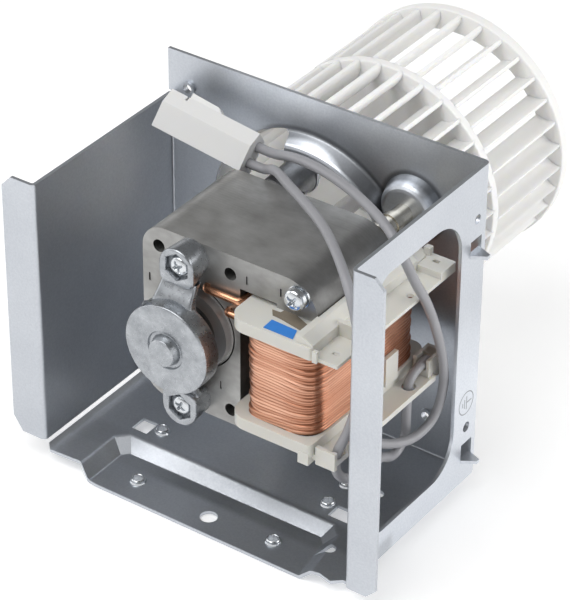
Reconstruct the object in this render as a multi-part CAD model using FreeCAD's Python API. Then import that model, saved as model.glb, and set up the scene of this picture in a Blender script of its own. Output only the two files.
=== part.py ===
import FreeCAD, Part
import math
import os

# Fan motor: folded sheet bracket, shaded pole motor and drum wheel.
# Millimetres. Working frame: x = 0 on the outer face of the left wall,
# y = 0 on the front face of the back plate (front is -y), z = 0 on the
# floor of the bracket. Every piece is moved by SHIFT before it is saved.

V = FreeCAD.Vector

# folded bracket
sheet = 1.0
bend_in = 0.5
bend_out = bend_in + sheet
width = 100.0
plate_top = 96.5
left_depth = 58.6
left_bottom = 2.7
left_top = 83.2
left_tip = 9.6
left_chamfer_x = 3.0
left_chamfer_top = 3.2
left_chamfer_low = 4.4
right_depth = 60.0
right_tip = 108.5
right_chamfer = 2.8
floor_end = width - 1.2
floor_front = 60.0
floor_step = 1.5
floor_ramp = 3.9
floor_dip = 1.0
ear_front = 58.0
lip_drop = 2.9
lip_left = 16.8
lip_right = 85.1
lip_rear = 44.0
slope_rear = 40.0
slope_left = 12.5
slope_right = 88.5
tray_lean = 0.153
joggle_in = 1.0
joggle_out = joggle_in + sheet

# side cut-out of the right wall
cut_front = 49.0
cut_rear = 11.0
cut_low = 8.5
cut_high = 87.5
cut_front_r = 5.0
cut_low_r = 10.0
cut_high_r = 12.0

# rotor axis and the three fixings
axis_x = 46.23
axis_z = 54.68
ear_pitch = 21.34
fix_x = 78.3
fix_z = 75.9

# raised seats of the back plate
seat_rise = 4.7
seat_margin = 7.16
ring_slope = 2.5
ring_top_r = ear_pitch + seat_margin
ring_base_r = ring_top_r + ring_slope
ring_foot = 1.5
tongue_r = 5.3
opening_left_r = ring_base_r + 0.4
opening_right_r = ring_top_r - 1.1
opening_root_r = 2.6
dome_rise = 4.5
dome_slope = 1.6
dome_top_r = 7.4
dome_base_r = dome_top_r + dome_slope
press_in = 1.0
press_out = press_in + sheet

# screws and nuts
screw_r = 1.9
screw_hole_r = 2.1
head_r = 2.7
head_h = 2.6
pan_r = 3.1
head_edge = 0.5
cross_w = 0.8
cross_deep = 1.2
nut_flats = 6.9
nut_h = 3.2
tap_hole_r = 1.35
tap_rim_r = 2.1
tap_rim_h = 0.8

# stator stack
stack_front = -51.0
stack_rear = -17.2
stack_left = 29.9
stack_right = 84.0
stack_low = 28.2
stack_top = 79.9
stack_r_left = 7.0
stack_r_right = 10.0
bore_r = 12.4
window_left = 60.3
limb_left = 71.5
limb_right = 83.0
window_low = 36.9
window_high = 71.0
joint_x = 79.3
joint_z = 69.0
through_r = 1.8
through_left = 35.1
through_right = 57.3
through_low = 32.5
through_high = 74.2
mark_w = 0.6
mark_l = 2.4
mark_depth = 0.4

# shading rings
ring_w = 1.7
ring_proud = 2.4

# bearing brackets
disc_r = 12.7
disc_front = -64.2
disc_back = -57.5
disc_chamfer = 1.0
boss_front = -66.2
boss_r = 3.3
boss_base_r = 4.4
ear_r = 5.1
ear_base_r = 4.5
ear_face = -58.3
web_front = ear_face
web_back = -54.4
dish_r = 8.0
dish_deep = 1.4
cup_r = 10.4
cup_wall = 1.4
hex_flats = 7.0
hex_depth = 2.6
mid_y = (stack_front + stack_rear) / 2.0

# bearings, felt, clip
ball_r = 5.2
ball_y = -58.65
ball_len = 5.5
pad_r = 7.0
pad_back = -59.9
felt_back = -57.9
clip_t = 0.5

# rotor
shaft_r = 2.5
shaft_front = -63.8
shaft_rear = 46.0
running = 0.05
rotor_r = 12.0
end_ring_out = 11.5
end_ring_in = 8.0
end_ring_t = 2.5
bars = 17
bar_deep = 2.4
bar_wide = 1.6
bar_pitch_r = 10.2
collar_r = 4.0
washer_r = 4.6
washer_t = 0.5
end_play = 0.1

# drum wheel
wheel_front = 4.5
ring_front_back = 8.2
disc_y0 = 35.1
disc_y1 = 37.9
ring_back_front = 69.8
wheel_rear = 73.5
rim_r = 36.1
rim_in = 29.6
blade_out = 35.4
blade_in = 30.0
blade_t = 1.25
blades = 32
blade_turn = 5.0
blade_bow = 0.7
front_phase = 93.5
rear_phase = 99.2
hub_front = 26.0
hub_rear = 44.0
hub_r = 6.0
hub_fillet_r = 9.0

# bobbin and winding
flange_low_z = 36.9
flange_t = 3.5
flange_high_z = 66.3
flange_front = -61.0
flange_rear = -7.2
flange_left = 63.3
flange_right = 88.7
channel_right = 96.0
low_channel_right = 95.1
tube_wall = 1.5
stack_gap = 0.1
flange_tip_r = 5.0
flange_r = 4.0
channel_t = 1.0
channel_step = 0.2
channel_inset = 0.6
ledge_w = 5.0
ledge_flat = 1.9
ledge_rise = 2.3
ledge_fall = 1.6
ledge_len = 46.6
step_front = -49.2
step_t = 1.4
step_h = 5.0
nub_w = 1.3
nub_out = 1.0
nub_rise = 2.2
nub_len = 1.8
block_len = 6.8
block_rise = 1.9
low_drop = 1.4
low_inset = 1.6
low_rear_inset = 5.8
low_lap = 3.5
tab_out = 0.2
tab_len = 5.0
tab_drop = 1.1
tab_t = 1.2
tab_rise = 4.1
wall_start = 5.0
wall_end = 9.4
post_w = 4.8
post_front = 3.0
post_back = 4.0
post_over = 1.8
fin_gap = 0.15
fin_t = 1.2
fin_rear = -22.4
fin_len = 5.6
fin_h = 7.6
low_hole_x = 93.1
low_hole_y = -56.6
lead_hole_r = 1.95
lead_b_run = 8.9
slot_x = 91.8
slot_w = 1.8
slot_in = 3.6
slot_l = 1.2
pin_y = -24.5
contact_w = 3.0
contact_h = 4.4
contact_drop = 2.6
coil_left = 66.4
coil_right = 88.0
coil_front = -58.8
coil_rear = -10.7
coil_corner = 5.6
label_t = 0.15

# mounting spacer
spacer_r = 2.75
ring_washer_r = 3.3
ring_washer_t = 1.0
bush_r = 3.0

# leads and plug
lead_a_end = (89.4, -49.4, 33.9)
lead_b_end = (91.9, -12.4, 40.6)
lead_r = 1.3
lead_bore_r = 1.45
plug_len = 28.5
plug_w = 11.1
plug_t = 6.0
plug_ridge_v = 6.9
plug_ridge_t = 1.5
plug_lean_a = 0.8
plug_t_a = 4.9
plug_lean_b = 1.3
plug_t_b = 6.7
latch_front = 5.7
latch_back = 14.3
latch_ramp = 1.9
latch_rise = 1.5
latch_notch = 0.7
latch_t0 = 0.4
latch_t1 = 3.6
plug_mouth = 3.0
plug_mouth_deep = 6.0
plug_origin = (7.1, -17.0, 83.3)
plug_along = (28.3, 0.0, -3.9)
plug_across = (0.3, 8.0, 7.7)
plug_lead_in = 6.0
plug_lead_out = 4.5
plug_row_b = 3.2
plug_row_a = 8.0
terminal_r = 1.0

SHIFT = V(-(right_tip - left_tip) / 2.0, -(boss_front + wheel_rear) / 2.0, lip_drop + sheet)

os.makedirs("parts", exist_ok=True)


def save(shape, name):
    shape = shape.removeSplitter() if shape.ShapeType != "Compound" else shape
    shape.translate(SHIFT)
    shape.exportStep("parts/" + name + ".step")
    box = shape.BoundBox
    print(name, len(shape.Solids), "solids", round(shape.Volume, 1), "mm3", shape.isValid(),
          [round(v, 2) for v in (box.XMin, box.XMax, box.YMin, box.YMax, box.ZMin, box.ZMax)])


def box(x0, x1, y0, y1, z0, z1):
    return Part.makeBox(x1 - x0, y1 - y0, z1 - z0, V(x0, y0, z0))


def rod(x, z, r, y0, y1):
    return Part.makeCylinder(r, y1 - y0, V(x, y0, z), V(0, 1, 0))


def post(x, y, r, z0, z1):
    return Part.makeCylinder(r, z1 - z0, V(x, y, z0), V(0, 0, 1))


def taper(x, z, y0, r0, y1, r1):
    return Part.makeCone(r0, r1, y1 - y0, V(x, y0, z), V(0, 1, 0))


def prism(points, push, radii=None):
    # closed outline of straight edges with rounded corners, pushed along a vector
    pts = [V(*p) for p in points]
    count = len(pts)
    radii = radii or [0.0] * count
    ends = []
    arcs = []
    for i in range(count):
        p, a, b = pts[i], pts[i - 1], pts[(i + 1) % count]
        da, db = (a - p), (b - p)
        da.normalize()
        db.normalize()
        r = radii[i]
        if r <= 0:
            ends.append((p, p))
            arcs.append(None)
            continue
        half = math.acos(max(-1.0, min(1.0, da.dot(db)))) / 2.0
        run = r / math.tan(half)
        mid = da + db
        mid.normalize()
        centre = p + mid * (r / math.sin(half))
        ends.append((p + da * run, p + db * run))
        arcs.append(centre - mid * r)
    edges = []
    for i in range(count):
        start, stop = ends[i]
        if arcs[i] is not None:
            edges.append(Part.Arc(start, arcs[i], stop).toShape())
        after = ends[(i + 1) % count][0]
        if (after - stop).Length > 1e-6:
            edges.append(Part.LineSegment(stop, after).toShape())
    return Part.Face(Part.Wire(edges)).extrude(V(*push))


def turn_y(profile, x, z):
    # profile of (radius, y) pairs turned about a line along y
    face = Part.Face(Part.makePolygon([V(x + r, y, z) for r, y in profile + profile[:1]]))
    return face.revolve(V(x, 0, z), V(0, 1, 0), 360)


def eased(outline, radii):
    # closed outline of (radius, y) pairs with the named corners rounded by three chords
    out = []
    for i, (px, py) in enumerate(outline):
        if i not in radii:
            out.append((px, py))
            continue
        p = V(px, py, 0)
        da = V(*outline[i - 1], 0) - p
        db = V(*outline[(i + 1) % len(outline)], 0) - p
        da.normalize()
        db.normalize()
        half = math.acos(max(-1.0, min(1.0, da.dot(db)))) / 2.0
        mid = da + db
        mid.normalize()
        centre = p + mid * (radii[i] / math.sin(half))
        start = p + da * (radii[i] / math.tan(half)) - centre
        stop = p + db * (radii[i] / math.tan(half)) - centre
        turn = math.atan2(start.cross(stop).z, start.dot(stop))
        for k in range(4):
            c, d = math.cos(turn * k / 3.0), math.sin(turn * k / 3.0)
            out.append((centre.x + c * start.x - d * start.y, centre.y + d * start.x + c * start.y))
    return out


def hexagon(x, z, flats, y0, y1, turn=0.0):
    r = flats / math.sqrt(3.0)
    pts = []
    for k in range(6):
        a = math.radians(60 * k + turn)
        pts.append((x + r * math.cos(a), y0, z + r * math.sin(a)))
    return prism(pts, (0, y1 - y0, 0))


def mirror_y(shape, at):
    return shape.mirror(V(0, at, 0), V(0, 1, 0))


def cord_tube(points, r, name):
    # straight runs joined by tangent arcs, swept with a round section
    pts = [V(*p) for p in points]
    edges = []
    at = pts[0]
    length = 0.0
    radii = []
    for i in range(1, len(pts) - 1):
        p = pts[i]
        da, db = pts[i - 1] - p, pts[i + 1] - p
        run = 0.45 * min(da.Length, db.Length)
        da.normalize()
        db.normalize()
        half_turn = (math.pi - math.acos(max(-1.0, min(1.0, da.dot(db))))) / 2.0
        radius = run / math.tan(half_turn)
        radii.append(radius)
        mid = da + db
        mid.normalize()
        centre = p + mid * (radius / math.cos(half_turn))
        start, stop = p + da * run, p + db * run
        edges.append(Part.LineSegment(at, start).toShape())
        edges.append(Part.Arc(start, centre - mid * radius, stop).toShape())
        length += (start - at).Length + 2.0 * half_turn * radius
        at = stop
    edges.append(Part.LineSegment(at, pts[-1]).toShape())
    length += (pts[-1] - at).Length
    path = Part.Wire(edges)
    first = pts[1] - pts[0]
    ring = Part.Wire([Part.makeCircle(r, pts[0], first)])
    tube = path.makePipeShell([ring], True, False)
    print(name, "length", round(length, 1), "volume ratio",
          round(tube.Volume / (math.pi * r * r * length), 4),
          "arc radii", [round(v, 1) for v in radii])
    return tube


def quarter_post(cx, cy, sx, sy, z0, z1):
    ring = post(cx, cy, bend_out, z0, z1).cut(post(cx, cy, bend_in, z0 - 1, z1 + 1))
    xs = sorted((cx, cx + sx * bend_out))
    ys = sorted((cy, cy + sy * bend_out))
    return ring.common(box(xs[0], xs[1], ys[0], ys[1], z0, z1))


def make_bracket():
    bottom = bend_out - sheet
    side_top = plate_top
    plate = box(bend_out, width - bend_out, 0, sheet, bottom, plate_top)
    plate = plate.fuse(box(0, bend_out, 0, sheet, left_top + 0.6, plate_top))
    plate = plate.cut(rod(axis_x, axis_z, ring_base_r + ring_foot, -1, sheet + 1))
    tip = math.tan(math.atan2(seat_rise, ring_slope) / 2.0) * sheet
    shell = turn_y(eased([(ring_base_r + ring_foot, 0), (ring_base_r, 0), (ring_top_r, -seat_rise),
                          (0.0, -seat_rise), (0.0, sheet - seat_rise), (ring_top_r - tip, sheet - seat_rise),
                          (ring_base_r - tip, sheet), (ring_base_r + ring_foot, sheet)],
                         {1: press_in, 2: press_out, 5: press_in, 6: press_out}), axis_x, axis_z)
    plate = plate.fuse(shell)
    # opening: two round lobes and the passage between the tongues
    far = ring_base_r + 5.0
    low = axis_z - far
    left = rod(axis_x, axis_z, opening_left_r, -9, 5)
    left = left.common(box(axis_x - far, axis_x - tongue_r, -9, 5, low, low + 2 * far))
    right = rod(axis_x, axis_z, opening_right_r, -9, 5)
    right = right.common(box(axis_x + tongue_r, axis_x + far, -9, 5, low, low + 2 * far))
    passage = box(axis_x - tongue_r - 0.01, axis_x + tongue_r + 0.01, -9, 5,
                  axis_z - ear_pitch, axis_z + ear_pitch)
    for side in (-1, 1):
        passage = passage.cut(rod(axis_x, axis_z + side * ear_pitch, tongue_r, -10, 6))
    opening = left.fuse([right, passage]).removeSplitter()
    roots = []
    for edge in opening.Edges:
        if len(edge.Vertexes) == 2 and abs(edge.tangentAt(edge.FirstParameter).y) > 0.999:
            p = edge.Vertexes[0].Point
            if math.hypot(p.x - axis_x, p.z - axis_z) > opening_right_r - opening_root_r:
                roots.append(edge)
    opening = opening.makeFillet(opening_root_r, roots)
    plate = plate.cut(opening)
    # round raised seat of the third fixing
    plate = plate.cut(rod(fix_x, fix_z, dome_base_r, -1, sheet + 1))
    tip = math.tan(math.atan2(dome_rise, dome_slope) / 2.0) * sheet
    dome = turn_y(eased([(dome_base_r, 0), (dome_top_r, -dome_rise), (0.0, -dome_rise),
                         (0.0, sheet - dome_rise), (dome_top_r - tip, sheet - dome_rise),
                         (dome_base_r - tip, sheet), (dome_base_r, sheet)],
                        {1: press_out, 4: press_in}), fix_x, fix_z)
    plate = plate.fuse(dome)
    for x, z in ((axis_x, axis_z + ear_pitch), (axis_x, axis_z - ear_pitch), (fix_x, fix_z)):
        plate = plate.cut(rod(x, z, screw_hole_r, -9, 5))
    pieces = []
    # walls with their bends and flanges
    pieces.append(quarter_post(width - bend_out, sheet - bend_out, 1, 1, bottom, side_top))
    wall = box(width - sheet, width, -right_depth + bend_out, sheet - bend_out, 0, side_top)
    cut = prism([(width - 3, -cut_rear, cut_low), (width - 3, -cut_rear, cut_high),
                 (width - 3, -cut_front, cut_high), (width - 3, -cut_front, cut_low)],
                (6, 0, 0), [cut_low_r, cut_high_r, cut_front_r, cut_front_r])
    wall = wall.cut(cut)
    for low_z, high_z in ((7.1, 12.7), (71.7, 76.4)):
        wall = wall.cut(box(width - 2, width + 1, -6.9, -1.8, low_z, high_z))
        hook = prism([(width - sheet, -7.3, low_z - 0.4), (width - sheet, -1.4, low_z - 0.4),
                      (width + 3.6, -3.2, low_z - 0.4), (width + 3.6, -4.4, low_z - 0.4)], (0, 0, sheet))
        pieces.append(hook)
    wall = wall.cut(Part.makeCylinder(1.5, 3, V(width - 2, -4.8, 17.7), V(1, 0, 0)))
    wall = wall.cut(Part.makeCylinder(tap_hole_r, 3, V(width - 2, -4.1, 82.0), V(1, 0, 0)))
    pieces.append(wall)
    pieces.append(quarter_post(width + bend_in, -right_depth + bend_out, -1, -1, 0, side_top))
    right_edge = right_tip - right_chamfer
    pieces.append(prism([(width + bend_in, -right_depth, 0), (right_edge, -right_depth, 0),
                         (right_tip, -right_depth, right_chamfer),
                         (right_tip, -right_depth, side_top - right_chamfer),
                         (right_edge, -right_depth, side_top),
                         (width + bend_in, -right_depth, side_top)], (0, sheet, 0)))
    pieces.append(quarter_post(bend_out, sheet - bend_out, -1, 1, left_bottom, left_top))
    pieces.append(box(0, sheet, -left_depth + bend_out, sheet - bend_out, left_bottom, left_top))
    pieces.append(quarter_post(-bend_in, -left_depth + bend_out, 1, -1, left_bottom, left_top))
    inner = left_tip - left_chamfer_x
    pieces.append(prism([(-bend_in, -left_depth, left_bottom), (-inner, -left_depth, left_bottom),
                         (-left_tip, -left_depth, left_bottom + left_chamfer_low),
                         (-left_tip, -left_depth, left_top - left_chamfer_top),
                         (-inner, -left_depth, left_top), (-bend_in, -left_depth, left_top)],
                        (0, sheet, 0)))
    # floor bend
    ring = Part.makeCylinder(bend_out, width - 4, V(2, sheet - bend_out, bend_out - sheet), V(1, 0, 0))
    ring = ring.cut(Part.makeCylinder(bend_in, width, V(0, sheet - bend_out, bend_out - sheet), V(1, 0, 0)))
    pieces.append(ring.common(box(2, width - 2, sheet - bend_out, sheet, -sheet, bend_out - sheet)))
    pieces.append(make_floor())
    solid = plate.fuse(pieces)
    # raised rims of the tapped holes
    for x, z in ((6.8, 86.4), (84.9, 12.2)):
        solid = solid.fuse(rod(x, z, tap_rim_r, -tap_rim_h, sheet))
        solid = solid.cut(rod(x, z, tap_hole_r, -3, 3))
    return solid


def tray(inset, z0, z1):
    # sunken front of the floor: outline at z0 (small) and at z1 (large)
    f = -floor_front - 12.0
    lean = tray_lean * 12.0
    rings = []
    for left, right, rear, cut, z in ((lip_left, lip_right, lip_rear, 2.0, z0),
                                      (slope_left, slope_right, slope_rear, 3.2, z1)):
        side_y = -rear - cut
        side_x = right + inset - tray_lean * (side_y + floor_front)
        corner_y = side_y + inset
        pts = [(left - inset, f), (left - inset, corner_y), (left + cut - inset, -rear + inset),
               (side_x - cut, -rear + inset), (side_x, corner_y), (right + inset + lean, f)]
        rings.append(Part.makePolygon([V(x, y, z) for x, y in pts + pts[:1]]))
    return Part.makeLoft(rings, True, True)


def bend_edges(slab, height, front, rear):
    # edges at one height that don't lie on the border of the slab
    found = []
    for edge in slab.Edges:
        low, high = edge.BoundBox.getPoint(0), edge.BoundBox.getPoint(6)
        level = max(abs(low.z - height), abs(high.z - height)) < 1e-4
        border = high.x < 0.01 or low.x > floor_end - 0.01 or low.y > rear - 0.01 or high.y < front + 0.01
        if level and not border:
            found.append(edge)
    return found


def make_floor():
    angle = math.atan2(lip_drop, lip_rear - slope_rear)
    inset = math.tan(angle / 2.0) * sheet
    front = -floor_front - 5
    rear = sheet - bend_out
    slab = box(0, floor_end, front, rear, -sheet, 0)
    slab = slab.fuse(tray(inset, -lip_drop - sheet, -sheet))
    slab = slab.cut(tray(0.0, -lip_drop, 0.0))
    slab = slab.common(box(-1, floor_end + 1, front, rear, -lip_drop - 2 * sheet, 1)).removeSplitter()
    # soft bends along both outlines of the sunken front
    for height, radius in ((0.0, joggle_out), (-lip_drop - sheet, joggle_out),
                           (-lip_drop, joggle_in), (-sheet, joggle_in)):
        slab = slab.makeFillet(radius, bend_edges(slab, height, front, rear))
    edge = [(0.0, 2.0), (0.0, -ear_front + 2.2), (2.1, -ear_front), (11.9, -ear_front + 0.6),
            (16.0, -floor_front + 0.4), (19.5, -floor_front), (lip_right, -floor_front),
            (floor_end - 2.0 * floor_ramp, -floor_front + floor_dip), (floor_end - floor_ramp, -floor_front),
            (floor_end - floor_step, -ear_front + 0.2), (floor_end, -ear_front + 0.2), (floor_end, 2.0)]
    plan = prism([(x, y, -9) for x, y in edge], (0, 0, 18))
    slab = slab.common(plan)
    slab = slab.cut(box(14, 19, -37.4, -32, -3, 3))
    slab = slab.cut(box(79, 85.5, -38, -33, -3, 3))
    slab = slab.cut(post(84.8, -22.9, 1.6, -3, 3))
    slab = slab.cut(post(52.0, -53.8, 2.4, -9, 3))
    slab = slab.cut(post(87.3, -49.2, 1.7, -9, 3).fuse(
        prism([(87.3, -50.9, -9), (87.3, -47.5, -9), (83.4, -50.9, -9)], (0, 0, 12))))
    for x, y, z in ((27.5, -52.3, -lip_drop), (71.7, -52.3, -lip_drop), (21.8, -33.8, 0.0),
                    (76.3, -33.8, 0.0), (75.7, -24.1, 0.0)):
        slab = slab.fuse(post(x, y, tap_rim_r, z - sheet, z + tap_rim_h))
        slab = slab.cut(post(x, y, tap_hole_r, z - 3, z + 3))
    return slab


def upright(x, z, w, h, y0, y1):
    return box(x - w / 2.0, x + w / 2.0, y0, y1, z - h / 2.0, z + h / 2.0)


shade_bars = ((67.9, 50.2, 61.15), (63.3, 57.0, 61.15))


def shade_outline(z, x0, x1, turned):
    if turned:
        z = 2 * axis_z - z
        x0, x1 = 2 * axis_x - x1, 2 * axis_x - x0
    return z, x0, x1


def make_yoke():
    depth = stack_rear - stack_front
    body = prism([(stack_left, stack_front, stack_low), (stack_right, stack_front, stack_low),
                  (stack_right, stack_front, stack_top), (stack_left, stack_front, stack_top)],
                 (0, depth, 0), [stack_r_left, stack_r_right, stack_r_right, stack_r_left])
    body = body.cut(rod(axis_x, axis_z, bore_r, stack_front - 1, stack_rear + 1))
    low_joint = window_low + (window_high - joint_z)
    gap = [(window_left, window_low), (joint_x, window_low), (stack_right + 2, low_joint + 0.9),
           (stack_right + 2, joint_z - 0.9), (joint_x, window_high), (window_left, window_high)]
    body = body.cut(prism([(x, stack_front - 1, z) for x, z in gap], (0, depth + 2, 0)))
    for x in (through_left, through_right):
        for z in (through_low, through_high):
            body = body.cut(rod(x, z, through_r, stack_front - 1, stack_rear + 1))
    for side in (-1, 1):
        body = body.cut(rod(axis_x, axis_z + side * ear_pitch, screw_hole_r, stack_front - 1, stack_rear + 1))
    body = body.cut(rod(fix_x, fix_z, screw_hole_r, stack_front - 1, stack_rear + 1))
    for x, z in ((32.0, 63.8), (62.4, 74.2), (72.7, 74.6), (54.2, 39.0)):
        body = body.cut(upright(x, z, mark_w, mark_l, stack_front - 1, stack_front + mark_depth))
    for turned in (False, True):
        for bar in shade_bars:
            z, x0, x1 = shade_outline(*bar, turned)
            for x in (x0, x1):
                body = body.cut(upright(x, z, ring_w, ring_w, stack_front - 1, stack_rear + 1))
    return body


def make_coil_core():
    low_joint = window_low + (window_high - joint_z)
    drop = (limb_right - joint_x) / (stack_right + 2 - joint_x)
    z1 = window_high - (window_high - joint_z + 0.9) * drop
    z0 = window_low + (low_joint + 0.9 - window_low) * drop
    pts = [(limb_left, window_low), (joint_x, window_low), (limb_right, z0),
           (limb_right, z1), (joint_x, window_high), (limb_left, window_high)]
    return prism([(x, stack_front, z) for x, z in pts], (0, stack_rear - stack_front, 0))


def make_shading_rings():
    rings = []
    half = ring_w / 2.0
    for turned in (False, True):
        for bar in shade_bars:
            z, x0, x1 = shade_outline(*bar, turned)
            outer = box(x0 - half, x1 + half, stack_front - ring_proud, stack_rear + ring_proud, z - half, z + half)
            inner = box(x0 + half, x1 - half, stack_front, stack_rear, z - half, z + half)
            rings.append(outer.cut(inner))
    return Part.Compound(rings)


def web_outline(y, push):
    # ear, narrow concave web, ear; the disc covers the middle
    pts = []
    reach = ear_pitch
    steps = ((0.0, disc_r - 1.5), (6.5, 9.6), (10.5, 6.3), (14.0, 4.9), (reach - 1.0, ear_r))
    left = [(-w, h) for h, w in steps]
    right = [(w, h) for h, w in reversed(steps)]
    for x, z in left + right:
        pts.append((axis_x + x, y, axis_z + z))
    for x, z in [(-x, -z) for x, z in left[1:] + right[:-1]]:
        pts.append((axis_x + x, y, axis_z + z))
    return prism(pts, (0, push, 0))


def casting(ear_front_y):
    body = web_outline(web_front, web_back - web_front)
    for side in (-1, 1):
        middle = (disc_r + ear_pitch - ear_r) / 2.0
        at = V(axis_x - disc_r, web_front - dish_r + dish_deep, axis_z + side * middle)
        body = body.cut(Part.makeCylinder(dish_r, 2.0 * disc_r, at, V(1, 0, 0)))
    body = body.fuse(rod(axis_x, axis_z, disc_r, disc_front + disc_chamfer, disc_back + 1.6))
    body = body.fuse(taper(axis_x, axis_z, disc_front, disc_r - disc_chamfer,
                           disc_front + disc_chamfer, disc_r))
    for side in (-1, 1):
        z = axis_z + side * ear_pitch
        body = body.fuse(taper(axis_x, z, ear_front_y, ear_r, stack_front, ear_base_r))
    # cup with its seat pad
    cup = rod(axis_x, axis_z, cup_r, disc_front + cup_wall, web_back + 1)
    pad = rod(axis_x, axis_z, pad_r, disc_front + cup_wall, pad_back)
    cup = cup.cut(pad)
    body = body.cut(cup)
    return body.cut(barrel(ball_len / 2.0))


def ear_cuts(body, y0, y1):
    for side in (-1, 1):
        z = axis_z + side * ear_pitch
        body = body.cut(rod(axis_x, z, screw_hole_r, y0, y1))
    return body


def make_front_bracket():
    body = casting(ear_face)
    boss = rod(axis_x, axis_z, boss_base_r, disc_front - 0.6, disc_front + 0.5)
    boss = boss.fuse(taper(axis_x, axis_z, boss_front + 0.5, boss_r + 0.5, disc_front - 0.6, boss_base_r))
    boss = boss.fuse(taper(axis_x, axis_z, boss_front, boss_r, boss_front + 0.5, boss_r + 0.5))
    body = body.fuse(boss)
    body = body.cut(rod(axis_x, axis_z, shaft_r + 0.3, shaft_front - 0.6, ball_y))
    body = ear_cuts(body, ear_face - 1, stack_front + 1)
    for side in (-1, 1):
        z = axis_z + side * ear_pitch
        body = body.cut(hexagon(axis_x, z, hex_flats, ear_face - 1, ear_face + hex_depth, 30))
    return body


def make_rear_bracket():
    # same casting with longer ears, turned round to the rear face of the stack
    reach = 2 * mid_y + seat_rise
    body = casting(reach)
    body = body.cut(rod(axis_x, axis_z, shaft_r + 0.6, disc_front - 1, ball_y))
    body = ear_cuts(body, reach - 1, stack_front + 1)
    return mirror_y(body, mid_y)


def barrel(reach):
    # round body that swells towards its middle, as a self-aligning bearing does
    steps = (-reach, -0.6 * reach, -0.2 * reach, 0.2 * reach, 0.6 * reach, reach)
    rim = [(math.sqrt(ball_r ** 2 - step ** 2), ball_y + step) for step in steps]
    return turn_y([(0.0, ball_y - reach)] + rim + [(0.0, ball_y + reach)], axis_x, axis_z)


def make_bearing():
    return barrel(ball_len / 2.0).cut(rod(axis_x, axis_z, shaft_r + running, ball_y - ball_len, ball_y + ball_len))


def make_felt():
    felt = rod(axis_x, axis_z, cup_r, pad_back, felt_back)
    return felt.cut(barrel(ball_len / 2.0))


def make_clip():
    clip = rod(axis_x, axis_z, cup_r, felt_back, felt_back + clip_t)
    clip = clip.cut(barrel(ball_len / 2.0))
    for k in range(6):
        slot = box(-0.5, 0.5, felt_back - 1, felt_back + 2, ball_r - 1.0, 7.6)
        slot.rotate(V(0, 0, 0), V(0, 1, 0), 60 * k)
        slot.translate(V(axis_x, 0, axis_z))
        clip = clip.cut(slot)
    return clip


def make_screw(x, z, r, head_y, end_y):
    head = rod(x, z, r, head_y + head_edge, head_y + head_h)
    head = head.fuse(taper(x, z, head_y, r - head_edge, head_y + head_edge, r))
    shank = rod(x, z, screw_r, head_y + head_h, end_y)
    body = head.fuse(shank)
    reach = r - 2.0 * head_edge
    for turn in (45, 135):
        slot = box(-reach, reach, head_y - 1, head_y + cross_deep, -cross_w / 2.0, cross_w / 2.0)
        slot.rotate(V(0, 0, 0), V(0, 1, 0), turn)
        slot.translate(V(x, 0, z))
        body = body.cut(slot)
    return body


def make_nut(x, z, y0):
    return hexagon(x, z, nut_flats, y0, y0 + nut_h, 30).cut(rod(x, z, screw_r, y0 - 1, y0 + nut_h + 1))


def bar_holes(y0, y1):
    # slots of the rotor that the cast bars fill
    out = []
    for k in range(bars):
        bar = box(bar_pitch_r - bar_deep / 2.0, bar_pitch_r + bar_deep / 2.0, y0, y1,
                  -bar_wide / 2.0, bar_wide / 2.0)
        bar.rotate(V(0, 0, 0), V(0, 1, 0), 360.0 * k / bars)
        bar.translate(V(axis_x, 0, axis_z))
        out.append(bar)
    return out


def make_rotor_core():
    core = rod(axis_x, axis_z, rotor_r, stack_front, stack_rear)
    core = core.cut(rod(axis_x, axis_z, shaft_r, stack_front - 1, stack_rear + 1))
    return core.cut(Part.Compound(bar_holes(stack_front - 1, stack_rear + 1)))


def make_rotor_cage():
    rings = []
    for y0 in (stack_front - end_ring_t, stack_rear):
        ring = rod(axis_x, axis_z, end_ring_out, y0, y0 + end_ring_t)
        rings.append(ring.cut(rod(axis_x, axis_z, end_ring_in, y0 - 1, y0 + end_ring_t + 1)))
    return rings[0].fuse([rings[1]] + bar_holes(stack_front, stack_rear))


def make_collars():
    face = ball_y + ball_len / 2.0 + end_play + washer_t
    collar = rod(axis_x, axis_z, collar_r, face, stack_front)
    collar = collar.cut(rod(axis_x, axis_z, shaft_r, face - 1, stack_front + 1))
    return Part.Compound([collar, mirror_y(collar, mid_y)])


def make_washers():
    face = ball_y + ball_len / 2.0 + end_play
    washer = rod(axis_x, axis_z, washer_r, face, face + washer_t)
    washer = washer.cut(rod(axis_x, axis_z, shaft_r, face - 1, face + 1))
    return Part.Compound([washer, mirror_y(washer, mid_y)])


def make_blade(angle, y0, y1):
    # forward curved blade: outer edge at the given angle, inner edge turned on
    a0 = math.radians(angle)
    a1 = math.radians(angle + blade_turn)
    p0 = V(blade_out * math.cos(a0), 0, blade_out * math.sin(a0))
    p1 = V(blade_in * math.cos(a1), 0, blade_in * math.sin(a1))
    run = p1 - p0
    run.normalize()
    side = V(-run.z, 0, run.x)
    mid = (p0 + p1) * 0.5 + side * blade_bow
    half = blade_t / 2.0
    corners = [p0 + side * half, mid + side * half, p1 + side * half,
               p1 - side * half, mid - side * half, p0 - side * half]
    blade = Part.Face(Part.makePolygon(corners + corners[:1])).extrude(V(0, y1 - y0, 0))
    blade.translate(V(axis_x, y0, axis_z))
    return blade


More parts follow.
